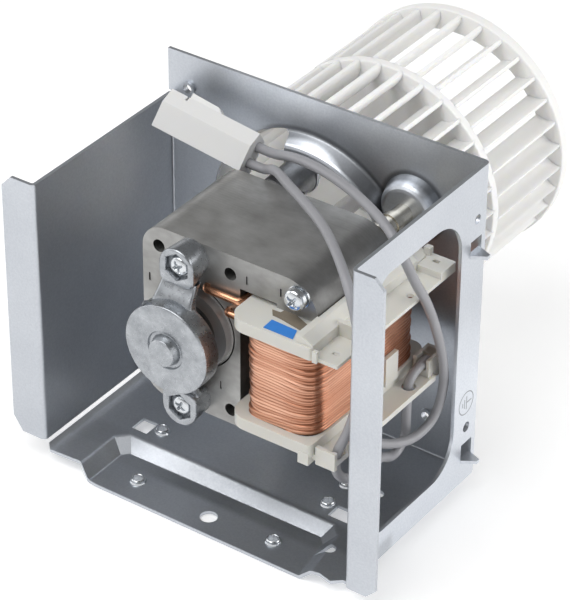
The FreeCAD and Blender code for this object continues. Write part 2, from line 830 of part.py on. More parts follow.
def make_wheel():
    front = rod(axis_x, axis_z, rim_r, wheel_front, ring_front_back)
    front = front.cut(rod(axis_x, axis_z, rim_in, wheel_front - 1, ring_front_back + 1))
    rear = rod(axis_x, axis_z, rim_r, ring_back_front, wheel_rear)
    rear = rear.cut(rod(axis_x, axis_z, rim_in, ring_back_front - 1, wheel_rear + 1))
    middle = rod(axis_x, axis_z, blade_out, disc_y0, disc_y1)
    hub = rod(axis_x, axis_z, hub_r, hub_front, hub_rear)
    cone = taper(axis_x, axis_z, disc_y0 - 4.0, hub_r, disc_y0, hub_fillet_r)
    parts = [rear, middle, hub, cone]
    pitch = 360.0 / blades
    for k in range(blades):
        parts.append(make_blade(front_phase + k * pitch, ring_front_back - 1.0, disc_y0 + 1.0))
        parts.append(make_blade(rear_phase + k * pitch, disc_y1 - 1.0, ring_back_front + 1.0))
    wheel = front.fuse(parts)
    return wheel.cut(rod(axis_x, axis_z, shaft_r, hub_front - 1, hub_rear + 1))


def make_wheel_clip():
    clip = rod(axis_x, axis_z, shaft_r + 2.6, hub_rear, hub_rear + 0.7)
    return clip.cut(rod(axis_x, axis_z, shaft_r, hub_rear - 1, hub_rear + 2))


def stack_arms():
    # both arms of the stack with the gap that the bobbin keeps from them
    far = stack_right + 2.0
    fall = (window_high - joint_z + 0.9) / (far - joint_x)
    edge = stack_right + stack_gap
    under = window_high - fall * (edge - joint_x) - stack_gap
    upper = [(window_left, window_high - stack_gap), (joint_x, window_high - stack_gap),
             (edge, under), (edge, stack_top), (window_left, stack_top)]
    middle = (window_high + window_low) / 2.0
    lower = [(x, 2 * middle - z) for x, z in upper]
    depth = stack_rear - stack_front + 2 * stack_gap
    arms = [prism([(x, stack_front - stack_gap, z) for x, z in side], (0, depth, 0))
            for side in (upper, lower)]
    return arms[0].fuse(arms[1])


def make_bobbin():
    high = flange_high_z + flange_t
    low_top = flange_low_z + flange_t
    body = None
    for z in (flange_low_z, flange_high_z):
        piece = prism([(flange_left, flange_front, z), (flange_right, flange_front, z),
                       (flange_right, flange_rear, z), (flange_left, flange_rear, z)],
                      (0, 0, flange_t), [flange_tip_r, 1.0, flange_r, flange_r])
        body = piece if body is None else body.fuse(piece)
    body = body.fuse(box(limb_left - tube_wall, limb_right + tube_wall, stack_front - tube_wall,
                         stack_rear + tube_wall, flange_low_z + 1, high - 1))
    # upper channel: thin floor, ledge beside the flange, blocks at both ends
    floor_z = flange_high_z + channel_step
    floor_top = floor_z + channel_t
    front = flange_front + channel_inset
    body = body.fuse(box(flange_right - 1, channel_right, front, flange_rear, floor_z, floor_top))
    ledge_left = flange_right - ledge_w
    ledge_top = high + ledge_rise
    body = body.fuse(prism([(ledge_left, front, high - 0.5), (flange_right, front, high - 0.5),
                            (flange_right, front, ledge_top - ledge_fall),
                            (ledge_left + ledge_flat, front, ledge_top), (ledge_left, front, ledge_top)],
                           (0, ledge_len, 0)))
    body = body.fuse(box(flange_right - 0.4, channel_right, step_front, step_front + step_t,
                         floor_z, floor_z + step_h))
    body = body.fuse(box(flange_right + 0.5, flange_right + 0.5 + nub_w, front - nub_out, front + 0.2,
                         floor_z, floor_top + nub_rise))
    block = floor_top + block_rise
    body = body.fuse(box(flange_right - 1, channel_right, flange_rear - block_len, flange_rear,
                         floor_z, block))
    body = body.fuse(box(flange_right - nub_w, flange_right + 0.5, flange_rear - nub_len, flange_rear,
                         block - 0.5, block + nub_rise))
    # lower channel: floor below the flange, front tabs, rear block
    low_z = flange_low_z - low_drop
    low_front = flange_front + low_inset
    low_rear = flange_rear - low_rear_inset
    body = body.fuse(box(flange_right - low_lap, low_channel_right, low_front, low_rear,
                         low_z, flange_low_z + 0.2))
    body = body.fuse(box(flange_right - low_lap, flange_right - 0.4, flange_front - tab_out,
                         flange_front + tab_len, low_z - tab_drop, flange_low_z + 1.1))
    wall_left = low_channel_right - tab_t
    body = body.fuse(box(flange_right + 0.6, low_channel_right, low_front, low_front + tab_t,
                         low_z - tab_drop, low_z + tab_rise))
    body = body.fuse(box(wall_left, low_channel_right, low_front + wall_start, low_front + wall_end,
                         low_z, low_z + tab_rise))
    post_left = lead_b_end[0] - post_w / 2.0
    post_top = lead_b_end[2] + post_over
    body = body.fuse(box(post_left, post_left + post_w, lead_b_end[1] - post_front,
                         lead_b_end[1] + post_back, low_z, post_top))
    body = body.fuse(box(flange_right - 0.7, post_left + post_w, low_rear - 0.5, flange_rear - 0.2,
                         low_z, flange_low_z + 1))
    fin_left = coil_right + fin_gap
    body = body.fuse(box(fin_left, fin_left + fin_t, fin_rear - fin_len, fin_rear,
                         low_top - 1, low_top + fin_h))
    # passages: coil limb, lead holes, small square holes
    body = body.cut(box(limb_left, limb_right, stack_front, stack_rear, flange_low_z - 3, high + 5))
    body = body.cut(post(low_hole_x, low_hole_y, lead_hole_r, low_z - 3, low_z + tab_rise + 0.1))
    body = body.cut(post(lead_b_end[0] + 0.2, lead_b_end[1] - lead_b_run, lead_hole_r, low_z - 3, low_top + 1))
    body = body.cut(box(slot_x, slot_x + slot_w, front + slot_in, front + slot_in + slot_l,
                        floor_z - 1, floor_top + 1))
    body = body.cut(post(slot_x + slot_w, pin_y, 1.0, floor_z - 1, floor_top + 1))
    body = body.cut(box(slot_x - 0.8, slot_x + slot_w - 0.7, flange_rear - nub_len - 1.6,
                        flange_rear - nub_len - 0.4, floor_z - 1, block + 5))
    # contact seat and way of the lead in the rear block
    seat = contact_w / 2.0
    x = lead_b_end[0]
    body = body.cut(box(x - seat, x + seat, lead_b_end[1], lead_b_end[1] + contact_w,
                        lead_b_end[2] - contact_drop, post_top + 1))
    body = body.cut(box(x - seat, x + seat, lead_b_end[1] - post_front - 1, lead_b_end[1],
                        lead_b_end[2] - seat, post_top + 1))
    return body.cut(stack_arms())


def make_winding():
    low_top = flange_low_z + flange_t
    coil = prism([(coil_left, coil_front, low_top), (coil_right, coil_front, low_top),
                  (coil_right, coil_rear, low_top), (coil_left, coil_rear, low_top)],
                 (0, 0, flange_high_z - low_top), [coil_corner] * 4)
    return coil.cut(box(limb_left - tube_wall, limb_right + tube_wall, stack_front - tube_wall,
                        stack_rear + tube_wall, low_top - 1, flange_high_z + 1))


def make_label():
    z = flange_high_z + flange_t
    return prism([(73.8, -60.0, z), (82.6, -60.0, z), (81.3, -56.4, z), (73.6, -56.1, z)], (0, 0, label_t))


def make_terminals():
    # contact of lead b in the rear block, contact of lead a under the channel
    seat = contact_w / 2.0
    x, y, z = lead_b_end
    rear = box(x - seat, x + seat, y, y + contact_w, z - contact_drop, z - contact_drop + contact_h)
    x, y, z = lead_a_end
    top = flange_low_z - low_drop
    front = box(x - seat + 0.1, x + seat - 0.1, y - contact_w, y, top - contact_w, top)
    return Part.Compound([rear, front])


plug_u = V(*plug_along)
plug_u.normalize()
plug_n = plug_u.cross(V(*plug_across))
plug_n.normalize()
plug_v = plug_n.cross(plug_u)


def plug_at(u, v, t):
    return V(*plug_origin) + plug_u * u + plug_v * v - plug_n * t


def plug_box(u0, u1, v0, v1, t0, t1):
    a, b = plug_at(u0, v0, t0), plug_at(u1, v0, t0)
    c, d = plug_at(u1, v1, t0), plug_at(u0, v1, t0)
    return prism([tuple(a), tuple(b), tuple(c), tuple(d)], tuple(plug_n * (t0 - t1)))


def plug_rod(u0, u1, v, t, r):
    return Part.makeCylinder(r, u1 - u0, plug_at(u0, v, t), plug_u)


def plug_prism(points, t0, t1):
    # outline in the plane of length and width, pushed through the depth
    return prism([tuple(plug_at(u, v, t0)) for u, v in points], tuple(plug_n * (t0 - t1)))


def make_plug():
    # body of five flat sides, given by its corners across the width and depth
    corners = [(0.0, 0.0), (plug_ridge_v, -plug_ridge_t), (plug_w, 0.0),
               (plug_w - plug_lean_a, plug_t_a), (plug_lean_b, plug_t_b)]
    body = prism([tuple(plug_at(0.0, v, t)) for v, t in corners], tuple(plug_u * plug_len))
    # latch with a notch before it and a ramp behind it
    low = plug_w - 1.2
    latch = [(latch_front, low), (latch_front, plug_w + latch_rise), (latch_back, plug_w + latch_rise - 0.3),
             (latch_back + latch_ramp, plug_w - 0.2), (latch_back + latch_ramp, low)]
    body = body.fuse(plug_prism(latch, latch_t0, latch_t1))
    body = body.cut(plug_prism([(latch_front - latch_notch, low), (latch_front, low),
                                (latch_front, plug_w + 1), (latch_front - latch_notch, plug_w + 1)],
                               -plug_ridge_t, latch_t1))
    middle = plug_t / 2.0
    mouth = plug_mouth / 2.0
    for row in (plug_row_a, plug_row_b):
        body = body.cut(plug_rod(plug_len - plug_lead_in, plug_len + 1, row, middle, lead_bore_r))
        body = body.cut(plug_rod(plug_mouth_deep, plug_len - plug_lead_in, row, middle, terminal_r))
        body = body.cut(plug_box(-1, plug_mouth_deep, row - mouth, row + mouth, middle - mouth, middle + mouth))
    return body


def make_plug_terminals():
    pins = []
    for row in (plug_row_a, plug_row_b):
        pins.append(plug_rod(3.0, plug_len - plug_lead_in, row, plug_t / 2, terminal_r))
    return Part.Compound(pins)


def lead_start(row):
    return [tuple(plug_at(plug_len - plug_lead_in, row, plug_t / 2)),
            tuple(plug_at(plug_len + plug_lead_out, row, plug_t / 2))]


lead_a_route = lead_start(plug_row_a) + [
    (48.4, -12.6, 86.4), (58.2, -15.6, 88.4), (68.2, -19.2, 89.3), (77.8, -23.4, 89.5),
    (86.4, -27.6, 89.0), (92.8, -30.9, 87.2), (97.2, -31.9, 81.6), (97.5, -28.2, 74.4),
    (97.4, -22.7, 66.2), (97.4, -17.3, 54.6), (97.1, -13.0, 42.6), (96.2, -10.4, 32.6),
    (95.2, -12.7, 23.3), (94.3, -20.3, 21.1), (92.9, -27.1, 22.6), (91.0, -32.6, 25.1),
    (89.8, -37.4, 28.6), (89.4, -42.0, 33.9), lead_a_end]
lead_b_route = lead_start(plug_row_b) + [
    (46.2, -16.4, 83.8), (54.6, -22.4, 85.0), (63.6, -27.6, 85.3), (72.4, -32.8, 85.1),
    (81.0, -39.8, 84.7), (88.4, -46.4, 83.4), (93.4, -50.5, 79.8), (96.8, -52.4, 72.4),
    (97.5, -52.0, 62.8), (97.4, -52.6, 53.6), (96.4, -55.4, 45.0), (93.4, -56.9, 37.4),
    (92.6, -54.8, 29.4), (92.8, -48.0, 23.8), (92.4, -40.4, 22.8), (91.0, -32.6, 21.1),
    (90.5, -25.2, 15.8), (90.5, -19.2, 19.1), (91.2, -20.6, 27.0), (91.9, -21.5, 33.3),
    (91.9, -20.9, 40.6), lead_b_end]


save(make_bracket(), "mounting_bracket")
save(make_yoke(), "stator_yoke")
save(make_coil_core(), "coil_core")
save(make_shading_rings(), "shading_rings")
save(make_bobbin(), "coil_bobbin")
save(make_winding(), "coil_winding")
save(make_label(), "coil_label")
save(make_terminals(), "winding_terminals")

save(make_front_bracket(), "front_bearing_bracket")
save(make_rear_bracket(), "rear_bearing_bracket")
save(make_bearing(), "front_bearing")
save(mirror_y(make_bearing(), mid_y), "rear_bearing")
save(make_felt(), "front_oil_felt")
save(mirror_y(make_felt(), mid_y), "rear_oil_felt")
save(make_clip(), "front_bearing_clip")
save(mirror_y(make_clip(), mid_y), "rear_bearing_clip")

head_seat = ear_face + hex_depth
back_of_tongue = sheet - seat_rise
back_of_dome = sheet - dome_rise
tail = 0.4
ear_screws = []
nuts = []
for side in (-1, 1):
    z = axis_z + side * ear_pitch
    ear_screws.append(make_screw(axis_x, z, head_r, head_seat - head_h, back_of_tongue + nut_h + tail))
    nuts.append(make_nut(axis_x, z, back_of_tongue))
nuts.append(make_nut(fix_x, fix_z, back_of_dome))
save(Part.Compound(ear_screws), "bearing_screws")
save(Part.Compound(nuts), "fixing_nuts")
save(make_screw(fix_x, fix_z, pan_r, stack_front - head_h, back_of_dome + nut_h + tail), "mounting_screw")
spacer_start = -dome_rise - 5.2
spacer = rod(fix_x, fix_z, spacer_r, spacer_start, -dome_rise)
save(spacer.cut(rod(fix_x, fix_z, screw_hole_r, spacer_start - 1, 0)), "mounting_spacer")
rings = []
for k in range(2):
    y1 = spacer_start - k * ring_washer_t
    ring = rod(fix_x, fix_z, ring_washer_r, y1 - ring_washer_t, y1)
    rings.append(ring.cut(rod(fix_x, fix_z, screw_hole_r, y1 - 5, y1 + 5)))
save(Part.Compound(rings), "spacer_washers")
bush_end = spacer_start - 2 * ring_washer_t
bush = rod(fix_x, fix_z, bush_r, stack_rear, bush_end)
save(bush.cut(rod(fix_x, fix_z, screw_hole_r, stack_rear - 1, bush_end + 1)), "mounting_bush")

save(make_rotor_core(), "rotor_core")
save(make_rotor_cage(), "rotor_cage")
save(rod(axis_x, axis_z, shaft_r, shaft_front, shaft_rear), "rotor_shaft")
save(make_collars(), "rotor_collars")
save(make_washers(), "thrust_washers")
save(make_wheel(), "fan_wheel")
save(make_wheel_clip(), "wheel_clip")

save(make_plug(), "plug_housing")
save(make_plug_terminals(), "plug_terminals")
save(cord_tube(lead_a_route, lead_r, "lead_a"), "lead_a")
save(cord_tube(lead_b_route, lead_r, "lead_b"), "lead_b")
for label, route in (("lead_a", lead_a_route), ("lead_b", lead_b_route)):
    moved = [V(*p) + SHIFT for p in route]
    print(label, [(round(p.x, 2), round(p.y, 2), round(p.z, 2)) for p in moved])
print("shift", SHIFT)
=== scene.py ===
import bpy
import math
import numpy as np
from mathutils import Matrix, Vector


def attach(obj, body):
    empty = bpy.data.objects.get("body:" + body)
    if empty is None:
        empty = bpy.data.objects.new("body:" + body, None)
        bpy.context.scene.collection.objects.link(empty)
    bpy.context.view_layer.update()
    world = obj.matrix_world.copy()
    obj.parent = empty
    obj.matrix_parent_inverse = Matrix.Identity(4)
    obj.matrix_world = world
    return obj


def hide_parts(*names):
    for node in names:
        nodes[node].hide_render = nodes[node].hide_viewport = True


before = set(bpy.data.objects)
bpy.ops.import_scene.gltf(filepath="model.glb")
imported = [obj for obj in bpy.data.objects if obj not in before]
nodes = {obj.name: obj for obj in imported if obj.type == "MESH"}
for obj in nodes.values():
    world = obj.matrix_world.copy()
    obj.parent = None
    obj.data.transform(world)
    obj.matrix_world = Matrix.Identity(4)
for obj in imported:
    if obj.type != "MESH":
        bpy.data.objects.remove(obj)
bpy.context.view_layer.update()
scene = bpy.context.scene

# Sizes are mm of the working frame, as in the part's source: x = 0 on the outer face of the left wall,
# y = 0 on the front face of the back plate, z = 0 on the floor. SHIFT moves a point into the frame of the
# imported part.
SHIFT = (-49.45, -3.65, 3.9)
WIDTH = 100.0
LIP_DROP = 2.9
AXIS_X, AXIS_Z = 46.23, 54.68
EAR_PITCH = 21.34
FIX_X, FIX_Z = 78.3, 75.9
STACK_FRONT, STACK_REAR = -51.0, -17.2
FLANGE_TOP = 69.8


def pt(x, y, z):
    """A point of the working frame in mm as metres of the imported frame."""
    return tuple((c + s) / 1000 for c, s in zip((x, y, z), SHIFT))


def link(obj):
    """Puts an object into the scene."""
    scene.collection.objects.link(obj)
    return obj


# Shader helpers
def node(tree, kind, inputs=None, **settings):
    """A shader node whose inputs are plain values, or sockets to link."""
    made = tree.nodes.new(kind)
    for key, value in settings.items():
        setattr(made, key, value)
    for key, value in (inputs or {}).items():
        if isinstance(value, bpy.types.NodeSocket):
            tree.links.new(value, made.inputs[key])
        else:
            made.inputs[key].default_value = value
    return made


def maths(tree, operation, *values, clamp=False):
    """Result of a Math node over values or sockets."""
    inputs = dict(enumerate(values))
    return node(tree, "ShaderNodeMath", inputs, operation=operation, use_clamp=clamp).outputs[0]


def times(tree, first, *rest):
    """Product of several values."""
    for value in rest:
        first = maths(tree, "MULTIPLY", first, value)
    return first


def ramp(tree, value, start, end, low=0.0, high=1.0):
    """Smooth step: low up to the start, high from the end on."""
    inputs = {0: value, 1: start, 2: end, 3: low, 4: high}
    return node(tree, "ShaderNodeMapRange", inputs, interpolation_type="SMOOTHSTEP").outputs[0]


def where(tree, mask, value):
    """The value inside a mask and 1 outside it: 1 + mask (value - 1)."""
    return maths(tree, "MULTIPLY_ADD", maths(tree, "SUBTRACT", value, 1.0), mask, 1.0)


def new_group(name, inputs, outputs):
    """Empty node group with its input and output nodes."""
    group = bpy.data.node_groups.new(name, "ShaderNodeTree")
    for kind, label, value in inputs:
        socket = group.interface.new_socket(label, in_out="INPUT", socket_type=kind)
        if value is not None:
            socket.default_value = value
    for kind, label in outputs:
        group.interface.new_socket(label, in_out="OUTPUT", socket_type=kind)
    return group, group.nodes.new("NodeGroupInput"), group.nodes.new("NodeGroupOutput")


def make_skin():
    """Colour, roughness and normal of a worked surface: cloudy tone, fine grain and a small bump."""
    number, colour, vector = "NodeSocketFloat", "NodeSocketColor", "NodeSocketVector"
    g, given, result = new_group("Skin", [
        (vector, "Vector", None), (colour, "Base", (0.5, 0.5, 0.5, 1)),
        (colour, "Tint", (0.4, 0.4, 0.4, 1)), (vector, "Stretch", (1, 1, 1)),
        (number, "Cloud", 60.0), (number, "Cloud amount", 0.3),
        (number, "Grain", 1500.0), (number, "Grain amount", 0.2),
        (number, "Rough", 0.4), (number, "Rough change", 0.1),
        (number, "Bump", 0.1), (number, "Depth", 0.0001)],
        [(colour, "Color"), (number, "Roughness"), (vector, "Normal")])
    take = given.outputs
    stretched = node(g, "ShaderNodeVectorMath", {0: take["Vector"], 1: take["Stretch"]}, operation="MULTIPLY")
    cloud = node(g, "ShaderNodeTexNoise", {"Vector": take["Vector"], "Scale": take["Cloud"], "Detail": 4.0})
    grain = node(g, "ShaderNodeTexNoise",
                 {"Vector": stretched.outputs[0], "Scale": take["Grain"], "Detail": 2.0}).outputs["Fac"]
    patches = node(g, "ShaderNodeMapRange", {0: cloud.outputs["Fac"], 1: 0.3, 2: 0.7}).outputs[0]
    patches = maths(g, "MULTIPLY", patches, take["Cloud amount"])
    specks = maths(g, "MULTIPLY", grain, take["Grain amount"])
    mask = maths(g, "ADD", patches, specks, clamp=True)
    tone = node(g, "ShaderNodeMix", {0: mask, 6: take["Base"], 7: take["Tint"]}, data_type="RGBA")
    rough = maths(g, "SUBTRACT", grain, 0.5)
    rough = maths(g, "MULTIPLY_ADD", rough, take["Rough change"], take["Rough"], clamp=True)
    bump = node(g, "ShaderNodeBump", {"Strength": take["Bump"], "Distance": take["Depth"], "Height": grain})
    g.links.new(tone.outputs[2], result.inputs["Color"])
    g.links.new(rough, result.inputs["Roughness"])
    g.links.new(bump.outputs[0], result.inputs["Normal"])
    return g


SKIN = make_skin()


# Painted light and shade over the bent sheet
def from_line(g, point, x, z):
    """Way from a line along y to a point, across that line, and its length."""
    away = node(g, "ShaderNodeVectorMath", {0: point, 1: (x, 0, z)}, operation="SUBTRACT")
    away = node(g, "ShaderNodeVectorMath", {0: away.outputs[0], 1: (1, 0, 1)}, operation="MULTIPLY")
    length = node(g, "ShaderNodeVectorMath", {0: away.outputs[0]}, operation="LENGTH")
    return away.outputs[0], length.outputs["Value"]


def shade_seat(g, point, wall):
    """Painted shade at the foot of the raised seat round the shaft, from the seat's edge outwards.

    Edge at 28.3 + 1.3 (1 - ((a - 1.54) / 0.42)^2), never under 28.3, at the angle a about the shaft."""
    swell_at, swell_half = 1.54, 0.42
    away, radius = from_line(g, point, AXIS_X, AXIS_Z)
    axes = node(g, "ShaderNodeSeparateXYZ", {0: away}).outputs
    angle = maths(g, "ARCTAN2", axes[2], axes[0])
    swell = maths(g, "MULTIPLY_ADD", angle, 1.0 / swell_half, -swell_at / swell_half)
    swell = maths(g, "SUBTRACT", 1.0, maths(g, "MULTIPLY", swell, swell), clamp=True)
    past = maths(g, "SUBTRACT", radius, maths(g, "MULTIPLY_ADD", swell, 1.3, 28.3))
    mask = times(g, wall, ramp(g, past, 0.0, 0.9), ramp(g, angle, 1.9, 2.2, 1.0, 0.0),
                 ramp(g, radius, 38.0, 42.0, 1.0, 0.0))
    # Painted shade, darkest next to the seat's edge and fading outwards.
    foot = times(g, ramp(g, radius, 31.8, 33.0, 0.38, 0.75), ramp(g, radius, 32.0, 41.0, 1.0, 1.33))
    return where(g, mask, foot)


def shade_dome(g, point, wall):
    """Painted shade at the foot of the dome of the third fixing."""
    radius = from_line(g, point, FIX_X, FIX_Z)[1]
    return where(g, times(g, wall, ramp(g, radius, 7.9, 8.4)), ramp(g, radius, 9.4, 10.8, 0.40, 1.0))


def make_painted_light_and_shade():
    """Painted light and shade by place: painted shade at the feet of both raised seats and on the step of the
    floor, painted light on the top of the back plate and on the foot of the right wall."""
    g, given, result = new_group("PaintedLightAndShade", [("NodeSocketVector", "Vector", None)],
                                 [("NodeSocketFloat", "Value")])
    back = tuple(-c for c in SHIFT)
    point = node(g, "ShaderNodeVectorMath", {0: given.outputs["Vector"], 1: (1000, 1000, 1000), 2: back},
                 operation="MULTIPLY_ADD").outputs[0]
    x, y, z = node(g, "ShaderNodeSeparateXYZ", {0: point}).outputs
    wall = ramp(g, y, -6.0, -4.0)
    # Painted light: brighter top of the back plate.
    painted_light_top_mask = times(g, wall, ramp(g, x, 12.0, 26.0), ramp(g, x, 76.0, 88.0, 1.0, 0.0),
                     ramp(g, z, 78.0, 87.0))
    # Painted shade on the step of the floor, lighter towards its right end.
    step_painted_shade_mask = times(g, ramp(g, y, -50.0, -47.0), ramp(g, y, -41.0, -38.0, 1.0, 0.0),
                      ramp(g, z, 3.0, 6.0, 1.0, 0.0))
    step_painted_shade = times(g, ramp(g, x, 22.0, 40.0, 0.92, 0.58), ramp(g, x, 45.0, 85.0, 1.0, 1.3))
    # Painted light: brighter lower part of the right wall's outer face.
    painted_light_side_mask = times(g, ramp(g, x, WIDTH - 1.0, WIDTH - 0.3), ramp(g, z, 30.0, 60.0, 1.0, 0.0),
                      ramp(g, y, -54.0, -48.0))
    value = times(g, shade_seat(g, point, wall), shade_dome(g, point, wall), where(g, painted_light_top_mask, 1.42),
                  where(g, step_painted_shade_mask, step_painted_shade), where(g, painted_light_side_mask, 1.28))
    g.links.new(value, result.inputs["Value"])
    return g


# Materials
def shader(m):
    """Node tree of a material and its Principled node."""
    return m.node_tree, m.node_tree.nodes["Principled BSDF"]


def material(name, base, tint=None, metal=0.0, sss=0.0, **skin):
    """A Principled material over the Skin group, in object coordinates."""
    m = bpy.data.materials.new(name)
    m.use_nodes = True
    t, bsdf = shader(m)
    group = node(t, "ShaderNodeGroup", node_tree=SKIN)
    t.links.new(node(t, "ShaderNodeTexCoord").outputs["Object"], group.inputs["Vector"])
    group.inputs["Base"].default_value = (*base, 1)
    group.inputs["Tint"].default_value = (*(tint or [c * 0.7 for c in base]), 1)
    for key, value in skin.items():
        group.inputs[key.replace("_", " ").capitalize()].default_value = value
    t.links.new(group.outputs["Color"], bsdf.inputs["Base Color"])
    t.links.new(group.outputs["Roughness"], bsdf.inputs["Roughness"])
    t.links.new(group.outputs["Normal"], bsdf.inputs["Normal"])
    bsdf.inputs["Metallic"].default_value = metal
    if sss:
        bsdf.inputs["Subsurface Weight"].default_value = sss
        bsdf.inputs["Subsurface Radius"].default_value = (1.0, 0.8, 0.5)
        bsdf.inputs["Subsurface Scale"].default_value = 0.002
    return m


def add_wire_material():
    """Enamelled wire: tone per turn from the mesh attribute, which also holds painted shade towards a dark
    groove colour, plus fine change along the wire.
    """
    m = material("wire", (0.84, 0.50, 0.36), (0.60, 0.29, 0.17), metal=0.85, cloud=110.0, cloud_amount=0.25,
                 grain=900.0, grain_amount=0.05, rough=0.30, rough_change=0.04, bump=0.01)
    t, bsdf = shader(m)
    old = bsdf.inputs["Base Color"].links[0].from_socket
    # Dark groove colour: painted shade in the grooves between turns and on the shaded sides of the coil.
    groove_painted_shade = (0.36, 0.13, 0.065, 1)
    tone = node(t, "ShaderNodeAttribute", attribute_name="tone")
    mask = node(t, "ShaderNodeMapRange", {0: tone.outputs["Fac"], 1: 0.0, 2: 0.78})
    mix = node(t, "ShaderNodeMix", {0: mask.outputs[0], 6: groove_painted_shade, 7: old}, data_type="RGBA")
    t.links.new(mix.outputs[2], bsdf.inputs["Base Color"])
    return m


def scale_base(m, value):
    """Multiplies the base colour of a material by a value socket of its own tree."""
    t, bsdf = shader(m)
    old = bsdf.inputs["Base Color"].links[0].from_socket
    scaled = node(t, "ShaderNodeVectorMath", {0: old, 1: value}, operation="MULTIPLY")
    t.links.new(scaled.outputs[0], bsdf.inputs["Base Color"])


def add_sheet_material():
    """Zinc-coated sheet: fine crystal grain, with painted light and shade from the PaintedLightAndShade
    group.
    """
    m = material("sheet", (0.63, 0.655, 0.69), (0.43, 0.455, 0.50), metal=0.9, cloud=45.0, cloud_amount=0.25,
                 grain=1700.0, grain_amount=0.6, rough=0.36, rough_change=0.25, bump=0.12, depth=0.00006)
    t = m.node_tree
    group = node(t, "ShaderNodeGroup", node_tree=make_painted_light_and_shade())
    t.links.new(node(t, "ShaderNodeTexCoord").outputs["Object"], group.inputs["Vector"])
    scale_base(m, group.outputs["Value"])
    return m


def add_stack_material():
    """Stacked sheets: fine lines from a wave of the object's y, painted shade by the way the surface faces.
    """
    m = material("stack", (0.54, 0.54, 0.53), (0.30, 0.295, 0.285), metal=0.75, cloud=130.0, cloud_amount=0.6,
                 grain=700.0, grain_amount=0.45, stretch=(0.45, 1.0, 1.0), rough=0.38, rough_change=0.2,
                 bump=0.08, depth=0.00008)
    t, bsdf = shader(m)
    place = node(t, "ShaderNodeTexCoord").outputs["Object"]
    wave = node(t, "ShaderNodeTexWave", {"Vector": place, "Scale": 320.0, "Distortion": 1.2, "Detail": 1.0},
                wave_type="BANDS", bands_direction="Y")
    lines = node(t, "ShaderNodeBump", {"Strength": 0.12, "Distance": 0.0001, "Height": wave.outputs["Fac"],
                                       "Normal": bsdf.inputs["Normal"].links[0].from_socket})
    t.links.new(lines.outputs[0], bsdf.inputs["Normal"])
    normal = node(t, "ShaderNodeNewGeometry").outputs["Normal"]
    facing = node(t, "ShaderNodeSeparateXYZ", {0: normal}).outputs
    # Painted shade: darker on faces turned towards +x, as the rounded right corner, and on the front face.
    scale_base(m, times(t, ramp(t, facing[0], 0.02, 0.4, 1.0, 0.55), ramp(t, facing[0], 0.5, 0.95, 1.0, 0.6),
                        ramp(t, facing[1], -0.9, -0.4, 0.84, 1.0)))
    return m


MATERIALS = {
    "wire": add_wire_material(),
    "stamp": material("stamp", (0.35, 0.37, 0.40), metal=0.8, rough=0.5),
    "sheet": add_sheet_material(),
    "stack": add_stack_material(),
    "copper": material("copper", (0.74, 0.39, 0.24), (0.52, 0.24, 0.13), metal=0.92, cloud=90.0,
                       cloud_amount=0.4, grain=700.0, grain_amount=0.2, rough=0.24, rough_change=0.1,
                       bump=0.05),
    "ivory": material("ivory", (0.71, 0.705, 0.665), (0.64, 0.62, 0.56), sss=0.35, cloud=40.0,
                      cloud_amount=0.5, grain=600.0, grain_amount=0.1, rough=0.38, rough_change=0.1,
                      bump=0.03),
    "label": material("label", (0.035, 0.24, 0.72), (0.03, 0.19, 0.60), cloud=500.0, cloud_amount=0.3,
                      grain=3000.0, grain_amount=0.2, rough=0.45, rough_change=0.1, bump=0.02),
    "contact": material("contact", (0.68, 0.64, 0.55), metal=0.9, rough=0.3),
    "cast": material("cast", (0.48, 0.50, 0.525), (0.26, 0.275, 0.295), metal=0.9, cloud=330.0,
                     cloud_amount=0.6, grain=1300.0, grain_amount=0.35, rough=0.30, rough_change=0.25,
                     bump=0.10, depth=0.0001),
    # Darker copy of the cast finish: painted shade on the rear bracket, which stands in shade behind the
    # stack.
    "cast_painted_shade": material("cast_painted_shade", (0.27, 0.275, 0.285), (0.16, 0.165, 0.17), metal=0.9,
                            cloud=330.0, cloud_amount=0.6, grain=1300.0, grain_amount=0.35, rough=0.36,
                            rough_change=0.2, bump=0.16),
    "bronze": material("bronze", (0.45, 0.28, 0.14), metal=0.8, rough=0.5),
    "felt": material("felt", (0.55, 0.50, 0.42), rough=0.95, bump=0.5),
    "spring": material("spring", (0.5, 0.5, 0.51), metal=0.95, rough=0.3),
    "zinc": material("zinc", (0.72, 0.74, 0.76), (0.5, 0.53, 0.56), metal=0.95, cloud=300.0,
                     cloud_amount=0.4, grain=2500.0, grain_amount=0.2, rough=0.20, rough_change=0.15,
                     bump=0.03),
    "nickel": material("nickel", (0.60, 0.57, 0.50), (0.45, 0.42, 0.36), metal=0.95, rough=0.22,
                       rough_change=0.1),
    "cage": material("cage", (0.7, 0.7, 0.71), metal=0.9, rough=0.4),
    "shaft": material("shaft", (0.66, 0.66, 0.67), metal=0.95, rough=0.22),
    "dark": material("dark", (0.06, 0.06, 0.065), rough=0.5),
    "fan": material("fan", (0.93, 0.925, 0.915), (0.87, 0.86, 0.835), sss=0.25, cloud=30.0,
                    cloud_amount=0.4, grain=800.0, grain_amount=0.1, rough=0.36, rough_change=0.08,
                    bump=0.02),
    "plug": material("plug", (0.73, 0.73, 0.725), (0.69, 0.69, 0.68), sss=0.15, cloud=60.0,
                     cloud_amount=0.3, grain=900.0, grain_amount=0.1, rough=0.30, rough_change=0.08,
                     bump=0.02),
    # Dark brown: painted shade of the gap between stack and bobbin flange.
    "painted_gap_shade": material("painted_gap_shade", (0.22, 0.185, 0.14), (0.16, 0.135, 0.10), rough=0.6),
    "lead": material("lead", (0.335, 0.335, 0.355), (0.28, 0.28, 0.295), cloud=150.0, cloud_amount=0.4,
                     grain=2500.0, grain_amount=0.15, rough=0.38, rough_change=0.1, bump=0.04),
}
